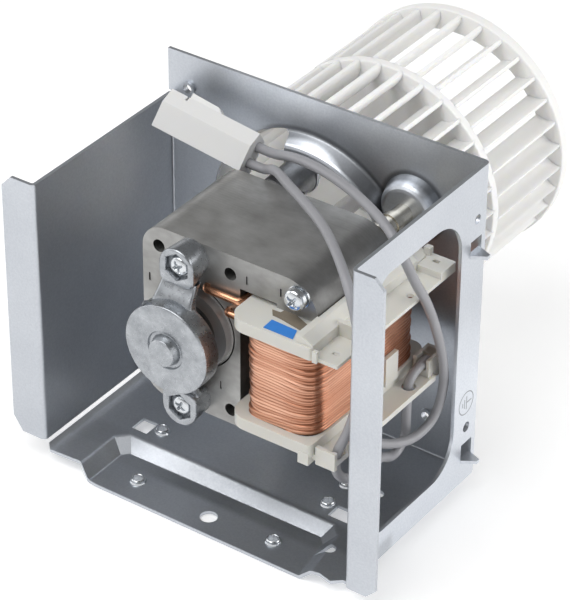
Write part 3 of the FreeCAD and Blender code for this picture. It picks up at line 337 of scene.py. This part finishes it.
NODE_MATERIAL = {
    "mounting_bracket": "sheet", "stator_yoke": "stack", "coil_core": "stack", "shading_rings": "copper",
    "coil_bobbin": "ivory", "coil_winding": "copper", "coil_label": "label", "winding_terminals": "contact",
    "front_bearing_bracket": "cast", "rear_bearing_bracket": "cast_painted_shade", "front_bearing": "bronze",
    "rear_bearing": "bronze", "front_oil_felt": "felt", "rear_oil_felt": "felt",
    "front_bearing_clip": "spring", "rear_bearing_clip": "spring", "bearing_screws": "zinc",
    "fixing_nuts": "zinc", "mounting_screw": "zinc", "mounting_spacer": "nickel",
    "spacer_washers": "nickel", "mounting_bush": "nickel", "rotor_core": "stack", "rotor_cage": "cage",
    "rotor_shaft": "shaft", "rotor_collars": "dark", "thrust_washers": "dark", "fan_wheel": "fan",
    "wheel_clip": "spring", "plug_housing": "plug", "plug_terminals": "contact", "lead_a": "lead",
    "lead_b": "lead"}
for name, finish in NODE_MATERIAL.items():
    slots = nodes[name].data.materials
    slots.clear()
    slots.append(MATERIALS[finish])


# Mesh helpers
def mesh_object(name, verts, faces, finish, smooth=True):
    """Object from points of the working frame in mm and faces of any size."""
    mesh = bpy.data.meshes.new(name)
    points = (np.asarray(verts, float) + SHIFT) / 1000
    mesh.from_pydata(points.tolist(), [], faces)
    mesh.update()
    mesh.polygons.foreach_set("use_smooth", [smooth] * len(mesh.polygons))
    mesh.materials.append(MATERIALS[finish])
    return link(bpy.data.objects.new(name, mesh))


def smooth_by_angle(obj, degrees):
    """Smooth faces that keep the edges sharper than the angle."""
    mesh = obj.data
    mesh.polygons.foreach_set("use_smooth", [True] * len(mesh.polygons))
    mesh.set_sharp_from_angle(angle=math.radians(degrees))


def grid_faces(rows, cols, closed=False):
    """Quads of points stored row by row, joined round each row and, if closed, from last row to first."""
    r, c = np.meshgrid(np.arange(rows if closed else rows - 1), np.arange(cols), indexing="ij")
    d, s = (c + 1) % cols, (r + 1) % rows
    quads = np.stack([r * cols + c, r * cols + d, s * cols + d, s * cols + c], 2)
    return [tuple(q) for q in quads.reshape(-1, 4).tolist()]


def rounded(profile, radii, steps=5):
    """Closed outline (a, b) with eased corners: (1 - t)^2 A + 2 t (1 - t) P + t^2 B at a corner P,
    where A and B are the points at which an arc of that radius would touch the two sides."""
    pts = [np.array(p, float) for p in profile]
    if not isinstance(radii, (list, tuple)):
        radii = [radii] * len(pts)
    out = []
    for i, (p, r) in enumerate(zip(pts, radii)):
        if r <= 0:
            out.append(p)
            continue
        before, after = pts[i - 1] - p, pts[(i + 1) % len(pts)] - p
        before, after = before / np.linalg.norm(before), after / np.linalg.norm(after)
        half = math.acos(max(-1.0, min(1.0, float(before @ after)))) / 2
        run = r / math.tan(half)
        for t in np.linspace(0, 1, steps + 1):
            out.append((1 - t) ** 2 * (p + before * run) + 2 * t * (1 - t) * p + t * t * (p + after * run))
    return np.array(out)


def turned(outline, segments, axis):
    """Open (radius, y) outline turned about a line along y: (x0 + r cos a, y, z0 + r sin a)."""
    ang = np.linspace(0, 2 * math.pi, segments, endpoint=False)
    r, y = np.asarray(outline, float).T[:, :, None]
    v = np.stack([axis[0] + r * np.cos(ang), y + 0 * ang, axis[1] + r * np.sin(ang)], 2)
    return v.reshape(-1, 3), grid_faces(len(r), segments)


def lathe(outline, segments, axis=(AXIS_X, AXIS_Z)):
    """Closed (radius, y) outline, turned."""
    ring = np.asarray(outline, float)
    return turned(np.concatenate([ring, ring[:1]]), segments, axis)


def join(parts):
    """One point and face list from several."""
    verts, faces, base = [], [], 0
    for v, f in parts:
        verts.append(np.asarray(v, float))
        faces += [tuple(i + base for i in q) for q in f]
        base += len(v)
    return np.concatenate(verts), faces


def replace(obj, node_name, body):
    """Lets an object stand in for a carried node."""
    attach(obj, body)
    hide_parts(node_name)


def trim(obj):
    """Adds an object that stands for no node to the frame."""
    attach(obj, "frame")


# Drum wheel
BLADES = 32
BLADE_OUT, BLADE_IN = 35.4, 30.0
BLADE_TURN = 5.0
BLADE_BOW = 0.7
BLADE_T = 1.25
RIM_IN, RIM_R = 29.6, 36.1


def blade_outline(angle):
    """Curved blade, cut across the shaft: chord from outer to inner edge with a bow of 4 b s (1 - s),
    half thickness t / 2 (1 - 0.12 s) and three points round each end."""
    a0, a1 = math.radians(angle), math.radians(angle + BLADE_TURN)
    outer = BLADE_OUT * np.array([math.cos(a0), math.sin(a0)])
    inner = BLADE_IN * np.array([math.cos(a1), math.sin(a1)])
    run = (inner - outer) / np.linalg.norm(inner - outer)
    side = np.array([-run[1], run[0]])
    s = np.linspace(0.05, 0.95, 7)
    middle = outer + np.outer(s, inner - outer) + np.outer(4 * BLADE_BOW * s * (1 - s), side)
    half = BLADE_T / 2 * (1.0 - 0.12 * s)
    outer_end = [outer + side * BLADE_T * c for c in (-0.34, 0.0, 0.34)]
    inner_end = [inner + side * BLADE_T * c * 0.85 for c in (0.34, 0.0, -0.34)]
    face = middle + half[:, None] * side
    back = middle - half[:, None] * side
    return np.concatenate([face, inner_end, back[::-1], outer_end])


def make_wheel():
    """Drum wheel: two sections of blades, each outline carried straight along y, and three turned pieces:
    the near ring, the far ring, and the middle disc with its hub."""
    parts = []
    for phase, y0, y1 in ((93.5, 7.6, 35.7), (99.2, 37.3, 70.4)):
        ys = np.linspace(y0, y1, 4)
        for k in range(BLADES):
            outline = blade_outline(phase + k * 360.0 / BLADES)
            v = np.empty((len(ys), len(outline), 3))
            v[..., 0] = AXIS_X + outline[:, 0]
            v[..., 1] = ys[:, None]
            v[..., 2] = AXIS_Z + outline[:, 1]
            parts.append((v.reshape(-1, 3), grid_faces(len(ys), len(outline))))
    near = rounded([(RIM_IN, 4.5), (RIM_R, 4.5), (RIM_R, 8.2), (RIM_IN, 8.2)], [0.7, 0.9, 0.5, 0.5])
    far = rounded([(RIM_IN, 69.8), (RIM_R, 69.8), (RIM_R, 73.5), (RIM_IN, 73.5)], [0.5, 0.5, 1.1, 0.8])
    disc = rounded([(2.5, 26.0), (6.0, 26.0), (6.0, 31.1), (9.0, 35.1), (BLADE_OUT, 35.1), (BLADE_OUT, 37.9),
                    (6.0, 37.9), (6.0, 44.0), (2.5, 44.0)], [0.1, 0.6, 1.5, 2.0, 0.5, 0.5, 1.0, 0.6, 0.1])
    parts += [lathe(outline, 128) for outline in (near, far, disc)]
    return mesh_object("wheel", *join(parts), "fan")


wheel = make_wheel()
smooth_by_angle(wheel, 38)
replace(wheel, "fan_wheel", "rotor")


# Winding
def coil_outline(radii):
    """Rounded rectangle round the limb as steps (start, end, cuts), with only its straight sides cut."""
    x0, x1, y0, y1 = 66.4, 88.0, -58.8, -10.7
    corner_steps = 10
    outline = rounded([(x0, y0), (x1, y0), (x1, y1), (x0, y1)], radii, corner_steps)
    steps = []
    for i, start in enumerate(outline):
        end = outline[(i + 1) % len(outline)]
        straight = i % (corner_steps + 1) == corner_steps
        cuts = max(1, int(np.linalg.norm(end - start) / 0.9)) if straight else 1
        steps.append((start, end, cuts))
    return steps


def make_winding():
    """Wound coil round the limb, each turn a round ridge between grooves, on a blend of two outlines.

    z = pitch (phase - w(s, z)), w a sum of three sines of the way s round the coil and of the height;
    depth = 0.26 (1 - sqrt(1 - u^2)) + 0.08 sink, u in -1..1 across a wire;
    tone = (0.45 + 0.55 random) (1 - u^2)^0.8, random per turn and painted shade towards the grooves, with
    more painted shade on the right side, at corners and in a front band."""
    pitch = 0.86
    draws = 400
    tight, wide = coil_outline([4.8, 6.0, 5.6, 4.8]), coil_outline([6.6, 8.0, 7.4, 6.6])
    pairs = []
    for (a, b, cuts), (c, d, more) in zip(tight, wide):
        cuts = max(cuts, more)
        for k in range(cuts):
            pairs.append((a + (b - a) * k / cuts, c + (d - c) * k / cuts))
    pairs = np.array(pairs)
    way = pairs.mean(1)
    step = np.linalg.norm(np.roll(way, -1, 0) - way, axis=1)
    tangent = np.roll(way, -1, 0) - np.roll(way, 1, 0)
    tangent /= np.linalg.norm(tangent, axis=1)[:, None]
    inward = np.stack([-tangent[:, 1], tangent[:, 0]], 1)
    s = np.concatenate([[0], np.cumsum(step)[:-1]]) / step.sum()
    s, phase = np.meshgrid(s, np.arange(45.0, 79.0, 0.1))
    z = pitch * phase
    for k in range(4):
        wave = (0.55 * np.sin(2 * math.pi * (2 * s + 0.03 * z))
                + 0.30 * np.sin(2 * math.pi * (3 * s - 0.05 * z) + 1.3)
                + 0.05 * np.sin(2 * math.pi * (7 * s + 0.16 * z) + 0.4))
        z = np.clip(pitch * (phase - wave), 40.4, 66.3)
    turn = np.floor(phase + 1e-6)
    u = 2 * (phase - turn) - 1
    ridge = np.maximum(0.0, 1 - u * u)
    rng = np.random.default_rng(7)
    index = (turn - turn.min()).astype(int)
    tone = rng.random(draws)[index]
    lean = rng.random(draws)[index]
    sink = rng.random(draws)[index] ** 4
    depth = 0.26 * (1 - np.sqrt(ridge)) + 0.08 * sink
    xy = pairs[:, 0] * (1 - lean[..., None]) + pairs[:, 1] * lean[..., None] + depth[..., None] * inward
    v = np.concatenate([xy, z[..., None]], 2).reshape(-1, 3)
    obj = mesh_object("winding", v, grid_faces(*z.shape), "wire")
    bend = np.linalg.norm(np.roll(tangent, -3, 0) - np.roll(tangent, 3, 0), axis=1)
    # Painted shade: darker where the coil faces +x, at its corners and in a band at the front near the right
    # corner.
    side = 1 - 0.45 * np.clip(-inward[:, 0], 0, 1) ** 2 - 0.38 * np.clip(bend, 0, 1) ** 2
    painted_shade_band = np.exp(-((way[:, 0] - 82.5) / 4.0) ** 2) * (way[:, 1] < -50)
    value = (0.45 + 0.55 * tone) * ridge ** 0.8 * side * (1 - 0.55 * painted_shade_band * lean)
    attribute = obj.data.attributes.new("tone", "FLOAT", "POINT")
    attribute.data.foreach_set("value", value.ravel().astype(np.float32))
    return obj


replace(make_winding(), "coil_winding", "frame")


# Front bearing bracket
def arm_middle(side):
    """Middle of the arm above (1) or below (-1) the cap."""
    return AXIS_X - (0.45 if side > 0 else 0.15)


def cast_arm(side):
    """Dished arm from the cap to an ear: a cross-section carried along the way h from the cap's middle.

    Half width 5.2 + 4.6 exp(-(h - 8) / 2), front edges rounded by 0.75 (1 - sqrt(1 - e^2))."""
    h = np.linspace(8.0, 17.0, 19)[:, None]
    half_width = 5.2 + 4.6 * np.exp(-(h - 8.0) / 2.0)
    k = np.clip((16.8 - h) / 5.2, 0, 1)
    front = -57.15 - 3.3 * (0.5 * k + 0.5 * k * k * (3 - 2 * k))
    k = np.clip((16.8 - h) / 7.0, 0, 1)
    back = -54.4 - 3.9 * k ** 0.6
    across = np.concatenate([np.linspace(-1, -0.84, 5), np.linspace(-0.6, 0.6, 7), np.linspace(0.84, 1, 5)])
    edge = np.clip((np.abs(across) - 0.84) / 0.16, 0, 1)
    front = front + 0.75 * (1 - np.sqrt(1 - edge * edge))
    back = back + np.array([-0.5, 0.0, 0.0, -0.5])
    x = arm_middle(side) + half_width * np.concatenate([across, [1.0, 0.96, -0.96, -1.0]])
    y = np.concatenate([front, back], 1)
    z = np.broadcast_to(AXIS_Z - 0.5 + side * h, x.shape)
    return np.stack([x, y, z], 2).reshape(-1, 3), grid_faces(*x.shape)


def cast_ear(side):
    """Ear with a six-sided pocket, as rings of a radius at a depth.

    Pocket radius 3.4 / cos(a) within each sixth; outline r / (|cos a|^p + |sin a|^p)^(1/p) with p 5 on
    the half towards the arm and 2 on the other."""
    around = 72
    ang = np.linspace(0, 2 * math.pi, around, endpoint=False)
    pocket = 3.4 / np.cos((ang + math.pi / 6) % (math.pi / 3) - math.pi / 6)
    p = np.where(np.sin(ang) * side < 0, 5.0, 2.0)
    outline = 1 / (np.abs(np.cos(ang)) ** p + np.abs(np.sin(ang)) ** p) ** (1 / p)
    outside = ((4.9, STACK_FRONT), (5.35 * outline, -57.5), (5.31 * outline, -57.85),
               (5.18 * outline, -58.12), (4.95 * outline, -58.26), (4.7 * outline, -58.3))
    inside = ((pocket + 0.3, -58.3), (pocket + 0.08, -58.2), (pocket, -58.0), (pocket, -56.45),
              (pocket - 0.15, -56.3), (1.9, -56.3), (1.9, -55.0))
    middle = AXIS_Z + side * EAR_PITCH
    rings = []
    for x, z, sections in ((arm_middle(side), middle - 0.65, outside),
                           (arm_middle(side) + 0.2, middle - 0.4, inside)):
        for radius, y in sections:
            ring = np.stack([x + radius * np.cos(ang), np.full(around, y), z + radius * np.sin(ang)], 1)
            rings.append(ring)
    return np.concatenate(rings), grid_faces(len(rings), around)


def make_casting():
    """Cast bearing bracket: turned cap with its boss, two arms and two ears."""
    cap = rounded([(0, -66.1), (3.75, -66.1), (4.4, -63.6), (5.2, -63.65), (5.5, -64.2), (12.7, -64.2),
                   (12.7, -58.4), (10.4, -58.4), (10.4, -60.5), (0, -60.5)],
                  [0, 0.35, 0.2, 0, 0.1, 0.7, 0.7, 0.3, 0, 0])
    parts = [lathe(cap, 160, (AXIS_X + 0.3, AXIS_Z - 0.5))]
    for side in (1, -1):
        parts += [cast_arm(side), cast_ear(side)]
    return mesh_object("casting", *join(parts), "cast")


casting = make_casting()
smooth_by_angle(casting, 42)
replace(casting, "front_bearing_bracket", "frame")


# Screws
def recess_arm(along, aside, r):
    """Share of the recess depth in one arm of the cross: narrower outwards, soft at its end and sides."""
    return np.clip((0.66 * r - along) / 0.5, 0, 1) * np.clip((0.50 - 0.11 * along - aside) / 0.22, 0, 1)


def make_screw(x, z, r, seat, top, end, turn):
    """Pan-head screw: y = top + 1.25 (1 - sqrt(1 - t^3)) + 1.1 max(arm(p, q), arm(q, p)) and a middle pit,
    over the share t of the head's radius; then a turned rim, foot and shank."""
    rings, around = 30, 96
    ang = np.linspace(0, 2 * math.pi, around, endpoint=False)
    t, a = np.meshgrid(np.linspace(0, 1, rings), ang, indexing="ij")
    p, q = np.abs(r * t * np.cos(a - turn)), np.abs(r * t * np.sin(a - turn))
    y = top + 1.25 * (1 - np.sqrt(np.maximum(0.0, 1 - t ** 3)))
    y = y + 1.1 * np.maximum(recess_arm(p, q, r), recess_arm(q, p, r))
    y = y + 0.35 * np.clip((0.95 - np.hypot(p, q)) / 0.3, 0, 1)
    head = np.stack([x + r * t * np.cos(a), y, z + r * t * np.sin(a)], 2).reshape(-1, 3)
    under = min(seat, top + 2.3)
    waist = (under + seat) / 2
    below = turned([(r, top + 1.25), (r, under), (r - 0.6, under), (r - 0.6, waist), (r + 0.15, waist + 0.05),
                    (r + 0.15, seat), (1.9, seat), (1.9, end - 0.3), (1.5, end), (0.0, end)], around, (x, z))
    return join([(head, grid_faces(rings, around)), below])


# x, z, head radius, seat, top of the head, end of the shank, turn of the cross
EAR_SCREWS = ((46.0, 75.6, 2.72, -56.3, -58.1, -0.1, 0.5), (46.15, 32.95, 2.72, -56.3, -58.1, -0.1, 1.1))
PAN_SCREW = ((FIX_X, FIX_Z, 3.0, STACK_FRONT, -54.6, 0.1, 0.9),)
for name, node_name, screws in (("ear_screws", "bearing_screws", EAR_SCREWS),
                                ("pan_screw", "mounting_screw", PAN_SCREW)):
    screw = mesh_object(name, *join([make_screw(*values) for values in screws]), "zinc")
    smooth_by_angle(screw, 45)
    replace(screw, node_name, "frame")


# Shading rings
def shading_bars():
    """Height, left end and right end of each ring: two on the right, and both half a turn round the shaft."""
    for z, x0, x1 in ((67.9, 50.2, 61.15), (63.3, 57.0, 61.15)):
        yield z, x0, x1
        yield 2 * AXIS_Z - z, 2 * AXIS_X - x1, 2 * AXIS_X - x0


def make_rods():
    """Shading rings: a round bar carried round a closed path, a rounded rectangle in x and y.

    Point = path + r cos(p) out, height + r sin(p), with r 0.85 inside the stack and 1.0 outside it."""
    around = 24
    p = np.linspace(0, 2 * math.pi, around, endpoint=False)
    front, rear = STACK_FRONT - 1.25, STACK_REAR + 1.25
    parts = []
    for height, x0, x1 in shading_bars():
        path = rounded([(x0, front), (x1, front), (x1, rear), (x0, rear)], 1.25, 8)
        tangent = np.roll(path, -1, 0) - np.roll(path, 1, 0)
        tangent /= np.linalg.norm(tangent, axis=1)[:, None]
        out = np.stack([tangent[:, 1], -tangent[:, 0]], 1)
        inside = (path[:, 1] > STACK_FRONT) & (path[:, 1] < STACK_REAR)
        r = np.where(inside, 0.85, 1.0)[:, None]
        xy = path[:, None] + (r * np.cos(p))[..., None] * out[:, None]
        z = height + r * np.sin(p)
        v = np.concatenate([xy, z[..., None]], 2).reshape(-1, 3)
        parts.append((v, grid_faces(len(path), around, closed=True)))
    return mesh_object("rods", *join(parts), "copper")


replace(make_rods(), "shading_rings", "frame")


# Trim
def make_painted_gap_shade():
    """Dark sheet of painted shade where the gap between stack and bobbin flange lies in shade, a flat outline
    of 0.1 mm stock.
    """
    outline = [(71.1, -52.4), (73.5, -52.2), (73.7, STACK_FRONT), (77.5, STACK_FRONT), (82.4, -53.0),
               (82.3, -55.9), (75.4, -54.6), (72.6, -54.4)]
    n = len(outline)
    v = [(x, y, z) for z in (FLANGE_TOP, FLANGE_TOP + 0.1) for x, y in outline]
    f = [tuple(range(n))[::-1], tuple(range(n, 2 * n))] + grid_faces(2, n)
    return mesh_object("painted_gap_shade", v, f, "painted_gap_shade", False)


def make_burrs():
    """Raised burrs round five holes of the floor and its lip: closed (radius, height) outline, turned."""
    outline = rounded([(1.35, -0.50), (1.35, 0.95), (1.60, 1.10), (2.15, 0.48), (2.35, 0.03), (2.10, -0.10)],
                      [0, 0.1, 0.1, 0.15, 0, 0])
    v, f = lathe(outline, 48, (0.0, 0.0))
    upright = v[:, [0, 2, 1]]
    holes = ((27.5, -52.3, -LIP_DROP), (71.7, -52.3, -LIP_DROP), (21.8, -33.8, 0.0), (76.3, -33.8, 0.0),
             (75.7, -24.1, 0.0))
    return mesh_object("burrs", *join([(upright + hole, f) for hole in holes]), "zinc")


def sign_line(y0, z0, y1, z1, width, x):
    """Flat stroke on a wall that faces +x."""
    way = np.array([y1 - y0, z1 - z0])
    side = np.array([-way[1], way[0]]) / np.linalg.norm(way) * width / 2
    corners = [(y0 + side[0], z0 + side[1]), (y1 + side[0], z1 + side[1]), (y1 - side[0], z1 - side[1]),
               (y0 - side[0], z0 - side[1])]
    return [(x, y, z) for y, z in corners], [(0, 1, 2, 3)]


def make_sign():
    """Common earth sign on the right wall: circle, stem and three bars, each shorter than the last."""
    x, y, z = WIDTH + 0.02, -5.4, 25.8
    radius, width, around = 3.4, 0.32, 48
    ang = np.linspace(0, 2 * math.pi, around, endpoint=False)
    rings = []
    for r in (radius - width / 2, radius + width / 2):
        rings.append(np.stack([np.full(around, x), y + r * np.cos(ang), z + r * np.sin(ang)], 1))
    parts = [(np.concatenate(rings), grid_faces(2, around)), sign_line(y + 2.6, z, y + 0.2, z, width, x)]
    for k, half in enumerate((2.1, 1.4, 0.7)):
        bar = y + 0.2 - 0.95 * k
        parts.append(sign_line(bar, z - half, bar, z + half, width, x))
    return mesh_object("earth_sign", *join(parts), "stamp", False)


trim(make_painted_gap_shade())
burrs = make_burrs()
smooth_by_angle(burrs, 40)
trim(burrs)
trim(make_sign())


# Edges of the carried pieces
def bevel(name, width, segments):
    """Small rounded edges on a carried piece, width in mm."""
    edge = nodes[name].modifiers.new("edge", "BEVEL")
    edge.width = width / 1000
    edge.segments = segments
    edge.limit_method = "ANGLE"
    edge.angle_limit = math.radians(35)
    edge.use_clamp_overlap = True
    edge.harden_normals = False


for name, width, segments in (("mounting_bracket", 0.12, 2), ("stator_yoke", 0.15, 2),
                              ("coil_bobbin", 0.35, 3), ("plug_housing", 0.30, 3),
                              ("rear_bearing_bracket", 0.3, 3), ("fixing_nuts", 0.25, 2),
                              ("mounting_spacer", 0.2, 2), ("mounting_bush", 0.2, 2),
                              ("spacer_washers", 0.15, 2)):
    bevel(name, width, segments)


# Leads
PLUG_ORIGIN = Vector((7.1, -17.0, 83.3))
PLUG_ALONG = Vector((28.3, 0.0, -3.9)).normalized()
PLUG_OUT = PLUG_ALONG.cross(Vector((0.3, 8.0, 7.7))).normalized()
PLUG_ACROSS = PLUG_OUT.cross(PLUG_ALONG)


def lead_start(row):
    """First two points of a lead, straight out of the plug at a place across its width."""
    start = PLUG_ORIGIN + PLUG_ACROSS * row - PLUG_OUT * 3.0
    return [start + PLUG_ALONG * 22.5, start + PLUG_ALONG * 33.0]


LEAD_A_ROUTE = lead_start(8.0) + [
    (48.4, -12.6, 86.4), (58.2, -15.6, 88.4), (68.2, -19.2, 89.3), (77.8, -23.4, 89.5),
    (86.4, -27.6, 89.0), (92.8, -30.9, 87.2), (97.2, -31.9, 81.6), (97.5, -28.2, 74.4),
    (97.4, -22.7, 66.2), (97.4, -17.3, 54.6), (97.1, -13.0, 42.6), (96.2, -10.4, 32.6),
    (95.2, -12.7, 23.3), (94.3, -20.3, 21.1), (92.9, -27.1, 22.6), (91.0, -32.6, 25.1),
    (89.8, -37.4, 28.6), (89.4, -42.0, 33.9), (89.4, -49.4, 33.9)]
LEAD_B_ROUTE = lead_start(3.2) + [
    (46.2, -16.4, 83.8), (54.6, -22.4, 85.0), (63.6, -27.6, 85.3), (72.4, -32.8, 85.1),
    (81.0, -39.8, 84.7), (88.4, -46.4, 83.4), (93.4, -50.5, 79.8), (96.8, -52.4, 72.4),
    (97.5, -52.0, 62.8), (97.4, -52.6, 53.6), (96.4, -55.4, 45.0), (93.4, -56.9, 37.4),
    (92.6, -54.8, 29.4), (92.8, -48.0, 23.8), (92.4, -40.4, 22.8), (91.0, -32.6, 21.1),
    (90.5, -25.2, 15.8), (90.5, -19.2, 19.1), (91.2, -20.6, 27.0), (91.9, -21.5, 33.3),
    (91.9, -20.9, 40.6), (91.9, -12.4, 40.6)]


def make_lead(name, route):
    """Round wire along a NURBS whose control points are the route of the part's source."""
    curve = bpy.data.curves.new(name, "CURVE")
    curve.dimensions = "3D"
    curve.bevel_depth = 0.0013
    curve.bevel_resolution = 6
    curve.resolution_u = 10
    curve.use_fill_caps = True
    spline = curve.splines.new("NURBS")
    spline.points.add(len(route) - 1)
    for point, place in zip(spline.points, route):
        point.co = (*pt(*place), 1.0)
    spline.order_u = 3
    spline.use_endpoint_u = True
    curve.materials.append(MATERIALS["lead"])
    return link(bpy.data.objects.new(name, curve))


for name, route, length, piece in (("lead_a", LEAD_A_ROUTE, 0.179, "plug_housing"),
                                   ("lead_b", LEAD_B_ROUTE, 0.198, "plug_terminals")):
    lead = make_lead(name + "_wire", route)
    replace(lead, name, "frame")


# Floor, studio and lights
def make_floor_material():
    """White floor that glows a little where it is seen: directly, in a reflection or through a clear part."""
    m = bpy.data.materials.new("floor")
    m.use_nodes = True
    t, bsdf = shader(m)
    bsdf.inputs["Base Color"].default_value = (0.92, 0.92, 0.92, 1)
    bsdf.inputs["Roughness"].default_value = 0.9
    bsdf.inputs["Specular IOR Level"].default_value = 0.1
    bsdf.inputs["Emission Color"].default_value = (1, 1, 1, 1)
    path = node(t, "ShaderNodeLightPath").outputs
    looked = maths(t, "MAXIMUM", path["Is Camera Ray"], path["Is Glossy Ray"])
    looked = maths(t, "MAXIMUM", looked, path["Is Transmission Ray"])
    t.links.new(times(t, looked, 0.32), bsdf.inputs["Emission Strength"])
    return m


def make_floor():
    """Square floor just under the part."""
    half, z = 3.0, -0.0002
    mesh = bpy.data.meshes.new("floor")
    corners = [(-half, -half, z), (half, -half, z), (half, half, z), (-half, half, z)]
    mesh.from_pydata(corners, [], [(0, 1, 2, 3)])
    mesh.materials.append(make_floor_material())
    return link(bpy.data.objects.new("floor", mesh))


def make_studio():
    """World: plain white to the camera; in reflections a white sweep low down, a dim room above it and a
    soft box overhead at the front left; an even light on everything else."""
    world = bpy.data.worlds.new("studio")
    scene.world = world
    world.use_nodes = True
    t = world.node_tree
    path = node(t, "ShaderNodeLightPath").outputs
    direction = node(t, "ShaderNodeTexCoord").outputs["Generated"]
    height = node(t, "ShaderNodeSeparateXYZ", {0: direction}).outputs["Z"]
    room = ramp(t, height, 0.10, 0.50, 1.0, 0.16)
    to_box = node(t, "ShaderNodeVectorMath", {0: direction, 1: (-0.46, -0.40, 0.79)}, operation="DOT_PRODUCT")
    reflected = maths(t, "ADD", room, ramp(t, to_box.outputs["Value"], 0.86, 0.97, 0.0, 1.2))
    plain = maths(t, "MAXIMUM", path["Is Camera Ray"], path["Is Transmission Ray"])
    level = node(t, "ShaderNodeMix", {0: path["Is Glossy Ray"], 2: 0.42, 3: reflected}, data_type="FLOAT")
    level = node(t, "ShaderNodeMix", {0: plain, 2: level.outputs[0], 3: 1.0}, data_type="FLOAT")
    background = t.nodes["Background"]
    background.inputs["Color"].default_value = (1, 1, 1, 1)
    t.links.new(level.outputs[0], background.inputs["Strength"])


def area(name, place, size, power):
    """Square area light turned to the middle of the part."""
    light = bpy.data.lights.new(name, "AREA")
    light.energy = power
    light.size = size
    obj = link(bpy.data.objects.new(name, light))
    obj.location = place
    way = Vector((0, 0, 0.05)) - Vector(place)
    obj.rotation_euler = way.to_track_quat("-Z", "Y").to_euler()


make_floor()
make_studio()
area("top", (-0.15, -0.40, 0.80), 0.7, 4.0)
area("right", (0.85, 0.25, 0.30), 0.7, 4.5)
area("left", (-0.80, -0.30, 0.35), 0.5, 1.0)


# Camera
def make_camera():
    """Camera fitted to the photograph: rotation vector and shift take a point of the working frame in mm to
    a view with x right, y down and z ahead; focal length and middle are in pixels of the photograph."""
    photo_width, photo_height = 570.0, 600.0
    focal = 3015.39
    middle_x, middle_y = 279.085, 300.61
    turn = np.array([2.08375, 0.66463, -0.34482])
    shift = Vector((-29.95, 12.859, 852.321))
    angle = float(np.linalg.norm(turn))
    rotation = Matrix.Rotation(angle, 3, Vector(turn / angle))
    data = bpy.data.cameras.new("camera")
    data.sensor_fit = "HORIZONTAL"
    data.sensor_width = 36.0
    data.lens = focal * data.sensor_width / photo_width
    data.shift_x = (photo_width / 2 - middle_x) / photo_width
    data.shift_y = (middle_y - photo_height / 2) / photo_width
    data.clip_start = 0.05
    data.clip_end = 20.0
    pose = Matrix([rotation[0], -rotation[1], -rotation[2]]).transposed().to_4x4()
    pose.translation = Vector(pt(*-(rotation.transposed() @ shift)))
    camera = link(bpy.data.objects.new("camera", data))
    camera.matrix_world = pose
    return camera


scene.camera = make_camera()
scene.view_settings.view_transform = "Standard"
scene.view_settings.look = "None"
